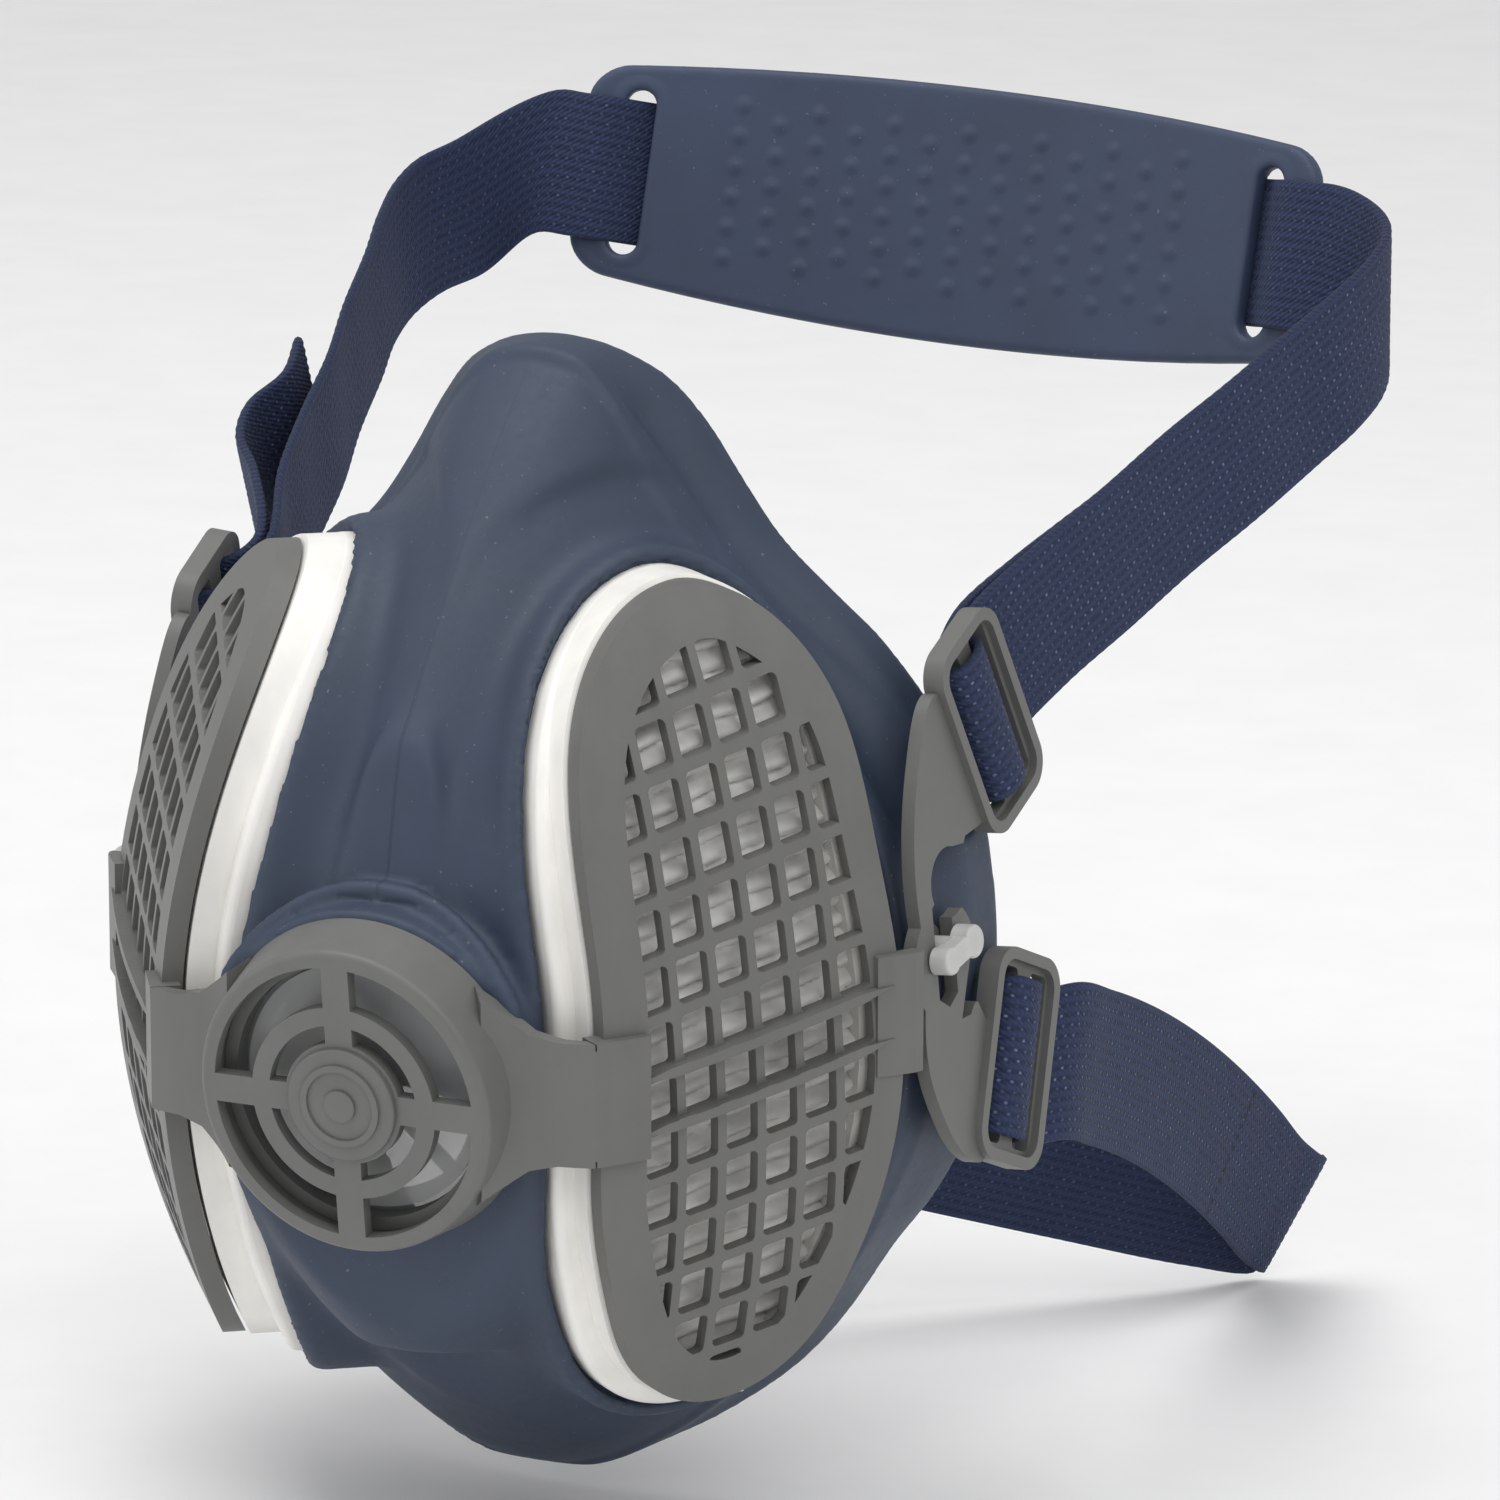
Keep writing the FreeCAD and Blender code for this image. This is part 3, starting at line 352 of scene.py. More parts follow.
def mesh_object(name, verts, faces):
    """Smooth mesh object from vertices in millimetres and a list of faces."""
    mesh = bpy.data.meshes.new(name)
    mesh.from_pydata((verts * MM).tolist(), [], faces)
    mesh.validate()
    mesh.update()
    mesh.shade_smooth()
    obj = bpy.data.objects.new(name, mesh)
    bpy.context.collection.objects.link(obj)
    return obj


def relax(verts, faces, rounds):
    """Move each vertex towards the mean of its neighbours, then back a little, so volume is kept."""
    share = 0.5
    edges = np.vstack([faces[:, [k, (k + 1) % 4]] for k in range(4)])
    count = np.bincount(edges.ravel(), minlength=len(verts))[:, None].astype(float)
    for k in range(2 * rounds):
        total = np.zeros_like(verts)
        np.add.at(total, edges[:, 0], verts[edges[:, 1]])
        np.add.at(total, edges[:, 1], verts[edges[:, 0]])
        step = share if k % 2 == 0 else -share * 1.04
        verts = verts + step * (total / np.maximum(count, 1) - verts)
    return verts


def settle(verts, field, origin, step):
    """Bring vertices back to the zero level along the field's slope."""
    cell = (verts - origin) / step
    whole = np.clip(cell.astype(int), 0, np.array(field.shape) - 2)
    u = cell - whole
    i, j, k = whole.T
    value, slope = 0.0, np.zeros_like(verts)
    for a, b, c in itertools.product((0, 1), repeat=3):
        corner = field[i + a, j + b, k + c]
        w = [u[:, axis] if far_end else 1 - u[:, axis] for axis, far_end in enumerate((a, b, c))]
        value = value + corner * w[0] * w[1] * w[2]
        slope[:, 0] += corner * (2 * a - 1) * w[1] * w[2]
        slope[:, 1] += corner * (2 * b - 1) * w[0] * w[2]
        slope[:, 2] += corner * (2 * c - 1) * w[0] * w[1]
    slope /= step
    steep = np.maximum((slope ** 2).sum(1), 0.25)
    move = -(value / steep)[:, None] * slope
    far = np.maximum(np.linalg.norm(move, axis=1) / (0.4 * step), 1)[:, None]
    return verts + move / far


def unit(v):
    """The same directions with length 1."""
    v = np.asarray(v, float)
    return v / np.maximum(np.linalg.norm(v, axis=-1, keepdims=True), 1e-9)


# ---------------------------------------------------------------- face piece

# the harness yoke's own axes, and each loop's crossbar: back, up, lean in degrees
YOKE_ORIGIN = np.array([56.0, -8.0, -9.0])
YOKE_BACK = np.array([0.1, 0.995, 0.0])
YOKE_UP = np.array([-0.106, 0.01, 0.994])
YOKE_IN = np.cross(YOKE_UP, YOKE_BACK)
UPPER_LOOP = (20.0, 36.5, -24.8)
LOWER_LOOP = (19.8, -6.1, 23.0)


def loop_axes(loop):
    """Centre of a loop's crossbar, the way back from it, and the way along it."""
    x, z, lean = loop
    lean = math.radians(lean)
    centre = YOKE_ORIGIN + YOKE_BACK * x + YOKE_UP * z
    along = YOKE_BACK * math.cos(lean) - YOKE_UP * math.sin(lean)
    across = YOKE_BACK * math.sin(lean) + YOKE_UP * math.cos(lean)
    return centre, along, across


def webbing_relief(X, Y, Z):
    """Room in the cheek for the webbing that stands inside the upper loop."""
    centre, along, across = loop_axes(UPPER_LOOP)
    axes = (along, YOKE_IN, across)
    along, inwards, across = ((X[:, None, None] - centre[0]) * a[0] + (Y[None, :, None] - centre[1]) * a[1]
                              + (Z[None, None, :] - centre[2]) * a[2] for a in axes)
    return soft_max(soft_max(np.abs(along - 3.0) - 12.0, np.abs(across) - 11.6, 2.0), inwards - 6.4, 2.0)


def build_face_piece():
    """The moulding's right half from its field, mirrored, meshed and smoothed."""
    X = np.arange(-2 * STEP, 60, STEP)
    Y = np.arange(-58, 26, STEP)
    Z = np.arange(-77, 78, STEP)
    field = soft_max(face_field(X, Y, Z), -webbing_relief(X, Y, Z), 1.2)
    # the two halves meet exactly on the symmetry plane
    half = field[2:]
    whole = np.concatenate([half[:0:-1], half])
    origin = np.array([-(len(half) - 1) * STEP, Y[0], Z[0]])
    verts, faces = surface_nets(whole, origin, STEP)
    verts = relax(verts, faces, 3)
    verts = settle(verts, whole, origin, STEP)
    verts = relax(verts, faces, 1)
    return mesh_object("face_piece_moulding", verts, faces.tolist())


# ---------------------------------------------------------------- head pad

# the pad leans back, tilts to one side, and is bowed about an upright axis
PAD_CENTRE = np.array([0.0, 129.0, 67.5])
PAD_LEAN = math.radians(-14.0)
PAD_TILT = math.radians(2.4)
PAD_BOW = 180.0
PAD_STEP = 0.5
PAD_HALF_LENGTH = 55.0
PAD_HALF_HEIGHT = 15.9
PAD_SLOT_PLACE = 47.5
PAD_MIDDLE_DEPTH = 1.3
NUB_COLUMN_PITCH = 5.5
NUB_ROW_PITCH = 4.25
PAD_TURN = np.array(Matrix.Rotation(PAD_LEAN, 3, "X") @ Matrix.Rotation(PAD_TILT, 3, "Y"))


def pad_to_world(points):
    """From the pad's own axes to the mask's."""
    p = np.asarray(points, float)
    return p @ PAD_TURN.T + PAD_CENTRE


def rounded_box(a, b, half_a, half_b, radius):
    """Signed distance to a rectangle with rounded corners."""
    qa, qb = np.abs(a) - half_a + radius, np.abs(b) - half_b + radius
    outside = np.sqrt(np.maximum(qa, 0) ** 2 + np.maximum(qb, 0) ** 2)
    return outside + np.minimum(np.maximum(qa, qb), 0) - radius


def build_head_pad():
    """Flat moulding with two rimmed slots and rows of grip nubs, then bowed round the head."""
    X = np.arange(-57, 57.1, PAD_STEP)
    Y = np.arange(-2.5, 4.6, PAD_STEP)
    Z = np.arange(-20, 20.1, PAD_STEP)
    x, y, z = X[:, None, None], Y[None, :, None], Z[None, None, :]
    height = 14.1 + 3.6 * (1 - np.clip(np.abs(x) / PAD_HALF_LENGTH, 0, 1) ** 2)
    outline = rounded_box(x, z * PAD_HALF_HEIGHT / height, PAD_HALF_LENGTH, PAD_HALF_HEIGHT, 5.5)
    outline = outline + 0 * y
    level = np.abs(y - PAD_MIDDLE_DEPTH)
    plate = soft_max(outline, level - 1.3 + 0 * x * z, 0.9)
    slot = rounded_box(np.abs(x) - PAD_SLOT_PLACE, z, 2.1, 11.5, 2.0)
    rim = np.maximum(np.abs(slot - 0.9) - 0.6, level - 1.42)
    plate = soft_min(plate, rim + 0 * y, 0.5)
    plate = soft_max(plate, -slot + 0 * y, 0.5)
    for column in range(-6, 7):
        rows = 5 if column % 2 else 6
        for row in range(rows):
            cx, cz = NUB_COLUMN_PITCH * column, NUB_ROW_PITCH * (row - (rows - 1) / 2) + 0.6
            nub = np.sqrt((x - cx) ** 2 + (y - 0.85) ** 2 + (z - cz) ** 2) - 1.3
            plate = soft_min(plate, nub, 0.35)
    verts, faces = surface_nets(plate, np.array([X[0], Y[0], Z[0]]), PAD_STEP)
    verts = relax(verts, faces, 1)
    turn = verts[:, 0] / PAD_BOW
    reach = PAD_BOW + verts[:, 1]
    verts = np.stack([reach * np.sin(turn), reach * np.cos(turn) - PAD_BOW, verts[:, 2]], 1)
    return mesh_object("head_pad_moulding", pad_to_world(verts), faces.tolist())


# ---------------------------------------------------------------- webbing

# the band's width, half thickness between its ribs, and number of ribs
WEB_WIDTH = 20.0
WEB_HALF = 0.62
RIBS = 15
# distance between stations along the band, and stations across it
WEB_SPACING = 1.0
WEB_ACROSS = 61


def loop_points(loop, points, side):
    """(along, inwards) positions beside a yoke crossbar, with the crossbar as the width direction."""
    centre, along, across = loop_axes(loop)
    mirror = np.array([side, 1, 1])
    return [((centre + along * a + YOKE_IN * b) * mirror, across * mirror) for a, b in points]


# round the crossbar: the slot next to the rear bar, over the outside, and back through the front slot
WRAP = ((9.6, 3.6), (6.8, 3.1), (4.2, 1.5), (2.9, -0.5), (0.2, -1.35), (-2.5, -0.6), (-3.3, 1.1),
        (-2.2, 2.9), (1.0, 4.0), (5.0, 4.9), (9.8, 5.3))


def along_path(stations):
    """Even steps along a smooth line through the stations, with their width directions."""
    p = np.array([s[0] for s in stations], float)
    w = unit([s[1] for s in stations])
    gaps = np.linalg.norm(np.diff(p, axis=0), axis=1) ** 0.75
    t = np.concatenate([[0], np.cumsum(gaps)])
    both = np.hstack([p, w])
    slopes = np.gradient(both, t, axis=0)
    fine = np.linspace(0, t[-1], 3000)
    k = np.clip(np.searchsorted(t, fine, side="right") - 1, 0, len(t) - 2)
    gap = (t[k + 1] - t[k])[:, None]
    u = (fine - t[k])[:, None] / gap
    curve = ((2 * u ** 3 - 3 * u ** 2 + 1) * both[k] + (u ** 3 - 2 * u ** 2 + u) * gap * slopes[k]
             + (3 * u ** 2 - 2 * u ** 3) * both[k + 1] + (u ** 3 - u ** 2) * gap * slopes[k + 1])
    length = np.concatenate([[0], np.cumsum(np.linalg.norm(np.diff(curve[:, :3], axis=0), axis=1))])
    steps = int(length[-1] / WEB_SPACING)
    even = np.linspace(0, length[-1], steps + 1)
    out = np.stack([np.interp(even, length, curve[:, c]) for c in range(6)], 1)
    return out[:, :3], unit(out[:, 3:]), even


def web_profile():
    """Once round the band's section: place across from -1 to 1, and height above the middle."""
    spread = np.linspace(-1, 1, WEB_ACROSS)
    u = np.sin(spread * math.pi / 2) * 0.35 + spread * 0.65
    edge = np.sqrt(np.clip(1 - np.abs(u) ** 26, 0, 1))
    rib = 0.055 * np.cos(RIBS * math.pi * u) * (np.abs(u) < 0.93) + 0.10 * bell(np.abs(u), 0.965, 0.03)
    thick = WEB_HALF * edge + rib * edge
    return np.concatenate([u, u[-2:0:-1]]), np.concatenate([thick, -thick[-2:0:-1]])


def web_faces(rows, around):
    """Faces along the band, then strips between its two sides that close the ends."""
    faces = []
    ring = np.arange(around)
    after = np.roll(ring, -1)
    for r in range(rows - 1):
        low, high = r * around, (r + 1) * around
        faces += np.stack([low + ring, low + after, high + after, high + ring], 1).tolist()
    last = WEB_ACROSS - 1
    for base, flip in ((0, False), ((rows - 1) * around, True)):
        for k in range(last):
            a, b = base + k, base + k + 1
            c = base + (around - k - 1) % around if k + 1 < last else b
            d = base + (around - k) % around
            quad = [a, d, c, b] if k > 0 else [a, c, b]
            quad = list(dict.fromkeys(quad))
            if len(quad) > 2:
                faces.append(quad[::-1] if flip else quad)
    return faces


def build_web(name, stations, seam=None):
    """Ribbed webbing swept along its stations, rounded at the edges and closed at the ends.

    The weave attribute holds the place across, the place along and the side; a seam is side 2.
    """
    centre, across, even = along_path(stations)
    run = unit(np.gradient(centre, axis=0))
    through = unit(np.cross(run, across))
    profile_u, profile_t = web_profile()
    rows, around = len(even), len(profile_u)
    grain = 1 + 0.10 * np.sin(even * 2 * math.pi / 1.9)[:, None] * np.sin(RIBS * math.pi * profile_u)[None, :]
    verts = (centre[:, None, :] + across[:, None, :] * (profile_u * WEB_WIDTH / 2)[None, :, None]
             + through[:, None, :] * (profile_t[None, :] * grain)[:, :, None])
    obj = mesh_object(name, verts.reshape(-1, 3), web_faces(rows, around))
    side = np.concatenate([np.ones(WEB_ACROSS), -np.ones(around - WEB_ACROSS)])
    side = np.tile(side, (rows, 1))
    if seam is not None:
        side[np.argmin(np.linalg.norm(centre - seam, axis=1))] = 2
    table = np.stack([np.tile(profile_u * WEB_WIDTH / 2, rows), np.repeat(even, around), side.ravel()], 1)
    weave = obj.data.attributes.new("weave", "FLOAT_VECTOR", "POINT")
    weave.data.foreach_set("vector", table.astype(np.float32).ravel())
    return obj


def upper_run(side):
    """From the yoke out round the temple, as points with upright width directions."""
    points = ((53.8, 33.3, 36.2), (57.4, 46.6, 41.3), (60.5, 60.0, 46.2),
              (64.2, 72.0, 50.8), (67.5, 85.0, 55.6), (70.0, 94.0, 59.2),
              (71.0, 101.5, 62.0), (70.2, 108.0, 64.2), (67.5, 113.2, 65.8))
    p = np.array(points) * (side, 1, 1)
    run = unit(np.gradient(p, axis=0))
    widths = unit(UP - run * (run @ UP)[:, None] * 0.75)
    return list(zip(p, widths))


def upper_tail(side):
    """Free end lying along the run: the right one inside it, the left one outside and curled away."""
    if side > 0:
        points = ((50.2, 34.0, 34.6), (52.4, 43.0, 37.4), (54.2, 50.0, 39.6), (55.2, 54.0, 41.0))
    else:
        points = ((56.9, 33.5, 36.6), (62.6, 40.5, 39.4), (64.6, 47.5, 42.2), (63.0, 54.0, 45.0),
                  (64.9, 61.5, 48.2))
    p = np.array(points) * (side, 1, 1)
    return [(q, np.array([0, -0.36, 0.93])) for q in p]


def pad_entry(side):
    """In front of the end bar, through the slot and in behind the pad."""
    up = PAD_TURN @ UP
    points = ((57.6, -10.2), (54.2, -9.5), (51.0, -8.5), (48.9, -6.6),
              (46.9, -4.0), (44.6, -2.4), (40.0, -1.0))
    world = pad_to_world([(side * x, y, 0) for x, y in points])
    return [(q, up) for q in world]


def pad_back():
    """Along the back of the pad, on an arc just outside its bow."""
    up = PAD_TURN @ UP
    reach = PAD_BOW + 3.7
    places = (30.0, 15.0, 0.0, -15.0, -30.0)
    world = pad_to_world([(x, math.sqrt(reach ** 2 - x * x) - PAD_BOW, 0) for x in places])
    return [(q, up) for q in world]


def build_upper_strap():
    """One band from the right tail, through both loops and the pad's slots, to the left tail."""
    right_wrap = loop_points(UPPER_LOOP, WRAP, 1)
    left_wrap = loop_points(UPPER_LOOP, WRAP, -1)
    right = upper_tail(1)[::-1] + right_wrap[::-1] + upper_run(1) + pad_entry(1)
    # on the left the run leaves from under the crossbar and the tail from the slot, outside it
    left = upper_tail(-1)[::-1] + left_wrap + upper_run(-1) + pad_entry(-1)
    return build_web("upper_strap_web", right + pad_back() + left[::-1])


# where a row of stitches crosses the neck strap
NECK_SEAM = np.array([55.0, 90.0, -51.0])


def neck_band():
    """From the right lower loop back to the fold, and forward again to the left lower loop."""
    fold = np.array([55.0, 118.0, -66.0])
    width = np.array([0.45, 0.0, 0.89])
    a, b = np.array([59.4, 27.5, -19.5]), fold + (0.6, -1.6, 0.5)
    near = []
    start = unit([-0.05, 0.35, 0.93])
    for t in (0.0, 0.14, 0.28, 0.42, 0.56, 0.70, 0.83, 0.94):
        bow = 4.6 * 4 * t * (1 - t)
        near.append((a + (b - a) * t + (0, 0, bow), start * (1 - t) + unit(width) * t))
    turn = [(fold + away, width) for away in ((0.75, 0.6, 0.3), (0.1, 2.0, 0.1), (-1.0, 1.3, -0.2))]
    c, d = fold + (-2.3, -1.3, 0.1), np.array([-52.0, 25.5, -21.0])
    end = unit([0.2, 0.2, 0.95])
    far = []
    for t in (0.05, 0.2, 0.4, 0.6, 0.8, 1.0):
        bow = 1.2 * 4 * t * (1 - t)
        far.append((c + (d - c) * t - (0, 0, bow), unit(width) * (1 - t) + end * t))
    return near + turn + far


def build_neck_strap():
    """One band between the lower loops, with a short end turned back at each."""
    short = ((13.5, 5.5),)
    right = loop_points(LOWER_LOOP, WRAP + short, 1)[::-1]
    left = loop_points(LOWER_LOOP, WRAP + short, -1)
    return build_web("neck_strap_web", right + neck_band() + left, seam=NECK_SEAM)


# ---------------------------------------------------------------- filter pleats

PLEAT_PITCH = 2.6
MEDIA_INSET = 4.0
MEDIA_BACK = 8.9


def build_media(name, side):
    """Horizontal rounded pleats between the walls of the filter frame."""
    s_axis = np.arange(-21, 13.1, 0.5)
    h_axis = np.arange(-40, 55.1, 0.3)
    s, h = np.meshgrid(s_axis, h_axis, indexing="ij")
    inside = outline_distance(s, h, spline(PORT_OUTLINE, 6, closed=True)) < -MEDIA_INSET
    cells = inside[:-1, :-1] & inside[1:, :-1] & inside[:-1, 1:] & inside[1:, 1:]
    rise = 0.22 * s
    wave = 0.25 * np.sin(s * 0.30 + 1.1 * np.sin(h * 0.17))
    phase = (h - rise + wave) / PLEAT_PITCH
    fold = np.abs(np.sin(math.pi * phase)) ** 0.6
    height = 0.88 + 0.12 * np.sin(np.floor(phase) * 2.4 + s * 0.4)
    bow = h ** 2 / (2 * BOW_RADIUS)
    front = 6.3 - 2.6 * fold * height + bow
    back = MEDIA_BACK + bow
    verts = []
    for depth in (front, back):
        p = (PORT_ORIGIN + s[..., None] * PORT_ALONG + depth[..., None] * PORT_IN
             + h[..., None] * UP)
        verts.append(p.reshape(-1, 3))
    verts = np.vstack(verts) * (side, 1, 1)
    n = s.size
    index = np.arange(n).reshape(s.shape)
    i, j = np.nonzero(cells)
    quad = np.stack([index[i, j], index[i + 1, j], index[i + 1, j + 1], index[i, j + 1]], 1)
    faces = [quad, quad[:, ::-1] + n]
    # edges used by one quad only are the rim, which a strip closes
    edges = {}
    for a in quad.tolist():
        for k in range(4):
            e = (a[k], a[(k + 1) % 4])
            if (e[1], e[0]) in edges:
                del edges[(e[1], e[0])]
            else:
                edges[e] = True
    faces.append(np.array([[b, a, a + n, b + n] for a, b in edges]))
    faces = np.vstack(faces)
    if side < 0:
        faces = faces[:, ::-1]
    used = np.unique(faces)
    place = np.full(len(verts), -1)
    place[used] = np.arange(len(used))
    return mesh_object(name, verts[used], place[faces].tolist())


# ---------------------------------------------------------------- materials

class Look:
    """A Principled material with helpers for its nodes."""

    def __init__(self, name, colour, rough, **settings):
        self.material = bpy.data.materials.new(name)
        self.material.use_nodes = True
        self.tree = self.material.node_tree
        self.shader = self.tree.nodes["Principled BSDF"]
        self.shader.inputs["Base Color"].default_value = (*colour, 1)
        self.shader.inputs["Roughness"].default_value = rough
        for key, value in settings.items():
            self.shader.inputs[key.replace("_", " ")].default_value = value
        self.bumps = None

    def node(self, kind, **settings):
        """A new node with its settings."""
        node = self.tree.nodes.new(kind)
        for key, value in settings.items():
            setattr(node, key, value)
        return node

    def link(self, a, b):
        self.tree.links.new(a, b)

    def place(self, attribute=None, scale=(1, 1, 1)):
        """Position on the object, or a mesh attribute, scaled."""
        mapping = self.node("ShaderNodeMapping")
        mapping.inputs["Scale"].default_value = scale
        if attribute:
            source = self.node("ShaderNodeAttribute", attribute_name=attribute).outputs["Vector"]
        else:
            source = self.node("ShaderNodeTexCoord").outputs["Object"]
        self.link(source, mapping.inputs["Vector"])
        return mapping.outputs["Vector"]

    def noise(self, vector, scale, detail=3.0, rough=0.55):
        node = self.node("ShaderNodeTexNoise")
        node.inputs["Scale"].default_value = scale
        node.inputs["Detail"].default_value = detail
        node.inputs["Roughness"].default_value = rough
        self.link(vector, node.inputs["Vector"])
        return node.outputs["Fac"]

    def math(self, operation, a, b=None):
        node = self.node("ShaderNodeMath", operation=operation)
        for k, value in enumerate((a, b)):
            if value is None:
                continue
            if hasattr(value, "is_linked"):
                self.link(value, node.inputs[k])
            else:
                node.inputs[k].default_value = value
        return node.outputs[0]

    def spread(self, value, low, high, out_low=0.0, out_high=1.0):
        """The value moved linearly from one range to another, and held at its ends."""
        node = self.node("ShaderNodeMapRange")
        for key, number in zip(("From Min", "From Max", "To Min", "To Max"), (low, high, out_low, out_high)):
            node.inputs[key].default_value = number
        self.link(value, node.inputs["Value"])
        return node.outputs["Result"]

    def mix(self, factor, a, b):
        """Colour between a and b, each a colour or a socket."""
        node = self.node("ShaderNodeMix", data_type="RGBA")
        self.link(factor, node.inputs["Factor"])
        for socket, value in ((node.inputs[6], a), (node.inputs[7], b)):
            if hasattr(value, "is_linked"):
                self.link(value, socket)
            else:
                socket.default_value = (*value, 1)
        return node.outputs[2]

    def colour(self, value):
        self.link(value, self.shader.inputs["Base Color"])

    def rough(self, value):
        self.link(value, self.shader.inputs["Roughness"])

    def bump(self, height, distance, strength):
        """Add a layer of relief to those already there."""
        node = self.node("ShaderNodeBump")
        node.inputs["Strength"].default_value = strength
        node.inputs["Distance"].default_value = distance
        self.link(height, node.inputs["Height"])
        if self.bumps:
            self.link(self.bumps, node.inputs["Normal"])
        self.bumps = node.outputs["Normal"]
        self.link(self.bumps, self.shader.inputs["Normal"])


def linear(r, g, b):
    """Scene colour of an 8-bit display colour."""
    out = []
    for v in (r, g, b):
        v = v / 255
        out.append(v / 12.92 if v <= 0.04045 else ((v + 0.055) / 1.055) ** 2.4)
    return tuple(out)


def shades(colour, *shares):
    """The colour times each share."""
    return [tuple(share * c for c in colour) for share in shares]


def rubber_look(name, colour, seam=False):
    """Matt moulded rubber with a faint bloom and dust, and a mould line down the nose if asked."""
    base = linear(*colour)
    look = Look(name, base, 0.56, Specular_IOR_Level=0.42)
    at = look.place()
    cloud = look.noise(at, 55, 4)
    fine = look.noise(at, 900, 3)
    bloom = look.mix(look.spread(cloud, 0.35, 0.68), *shades(base, 0.90, 1.10))
    dust = look.spread(look.noise(at, 1500, 1), 0.735, 0.80)
    pale = tuple(0.55 * c + 0.10 for c in base)
    shade = look.mix(dust, bloom, pale)
    if seam:
        split = look.node("ShaderNodeSeparateXYZ")
        look.link(look.place(), split.inputs[0])
        line = look.spread(look.math("ABSOLUTE", split.outputs["X"]), 0.00012, 0.00026, 1, 0)
        low = look.spread(split.outputs["Z"], 0.0125, 0.0135)
        high = look.spread(split.outputs["Z"], 0.069, 0.072, 1, 0)
        front = look.spread(split.outputs["Y"], -0.004, 0.002, 1, 0)
        faint = look.spread(split.outputs["Z"], 0.030, 0.046, 1, 0.25)
        line = look.math("MULTIPLY", look.math("MULTIPLY", line, low), look.math("MULTIPLY", high, front))
        line = look.math("MULTIPLY", line, faint)
        shade = look.mix(look.math("MULTIPLY", line, 0.45), shade, *shades(base, 0.55))
        look.bump(line, 0.00012, 0.6)
    look.colour(shade)
    look.rough(look.spread(look.math("ADD", cloud, look.math("MULTIPLY", fine, 0.5)), 0.5, 1.0, 0.48, 0.64))
    look.bump(fine, 0.00004, 0.5)
    look.bump(look.noise(at, 3200, 2), 0.00002, 0.5)
    return look.material


def plastic_look(name, colour, rough, **settings):
    """Moulded plastic with slightly uneven tone, gloss and grain."""
    grain = 0.00003
    base = linear(*colour)
    look = Look(name, base, rough, **settings)
    at = look.place()
    cloud = look.noise(at, 70, 3)
    streak = look.noise(look.place(scale=(1, 1, 0.18)), 260, 3)
    mixed = look.math("ADD", look.math("MULTIPLY", cloud, 0.6), look.math("MULTIPLY", streak, 0.4))
    bright = tuple(min(1, 1.07 * c) for c in base)
    look.colour(look.mix(look.spread(mixed, 0.35, 0.65), *shades(base, 0.93), bright))
    look.rough(look.spread(mixed, 0.3, 0.7, rough - 0.06, rough + 0.07))
    look.bump(look.noise(at, 2600, 2), grain, 0.6)
    look.bump(look.noise(at, 240, 2), grain * 2, 0.35)
    return look.material


def media_look():
    """Soft white fibre with streaks across the pleats."""
    base = linear(250, 249, 246)
    look = Look("filter_fibre", base, 0.82, Sheen_Weight=0.15)
    at = look.place()
    streak = look.noise(look.place(scale=(0.30, 0.30, 1)), 300, 3)
    blotch = look.noise(at, 210, 2)
    tone = look.math("ADD", look.math("MULTIPLY", streak, 0.4), look.math("MULTIPLY", blotch, 0.6))
    look.colour(look.mix(look.spread(tone, 0.40, 0.60), *shades(base, 0.74), base))
    look.bump(streak, 0.0002, 0.5)
    look.bump(look.noise(at, 2400, 3), 0.00006, 0.6)
    return look.material


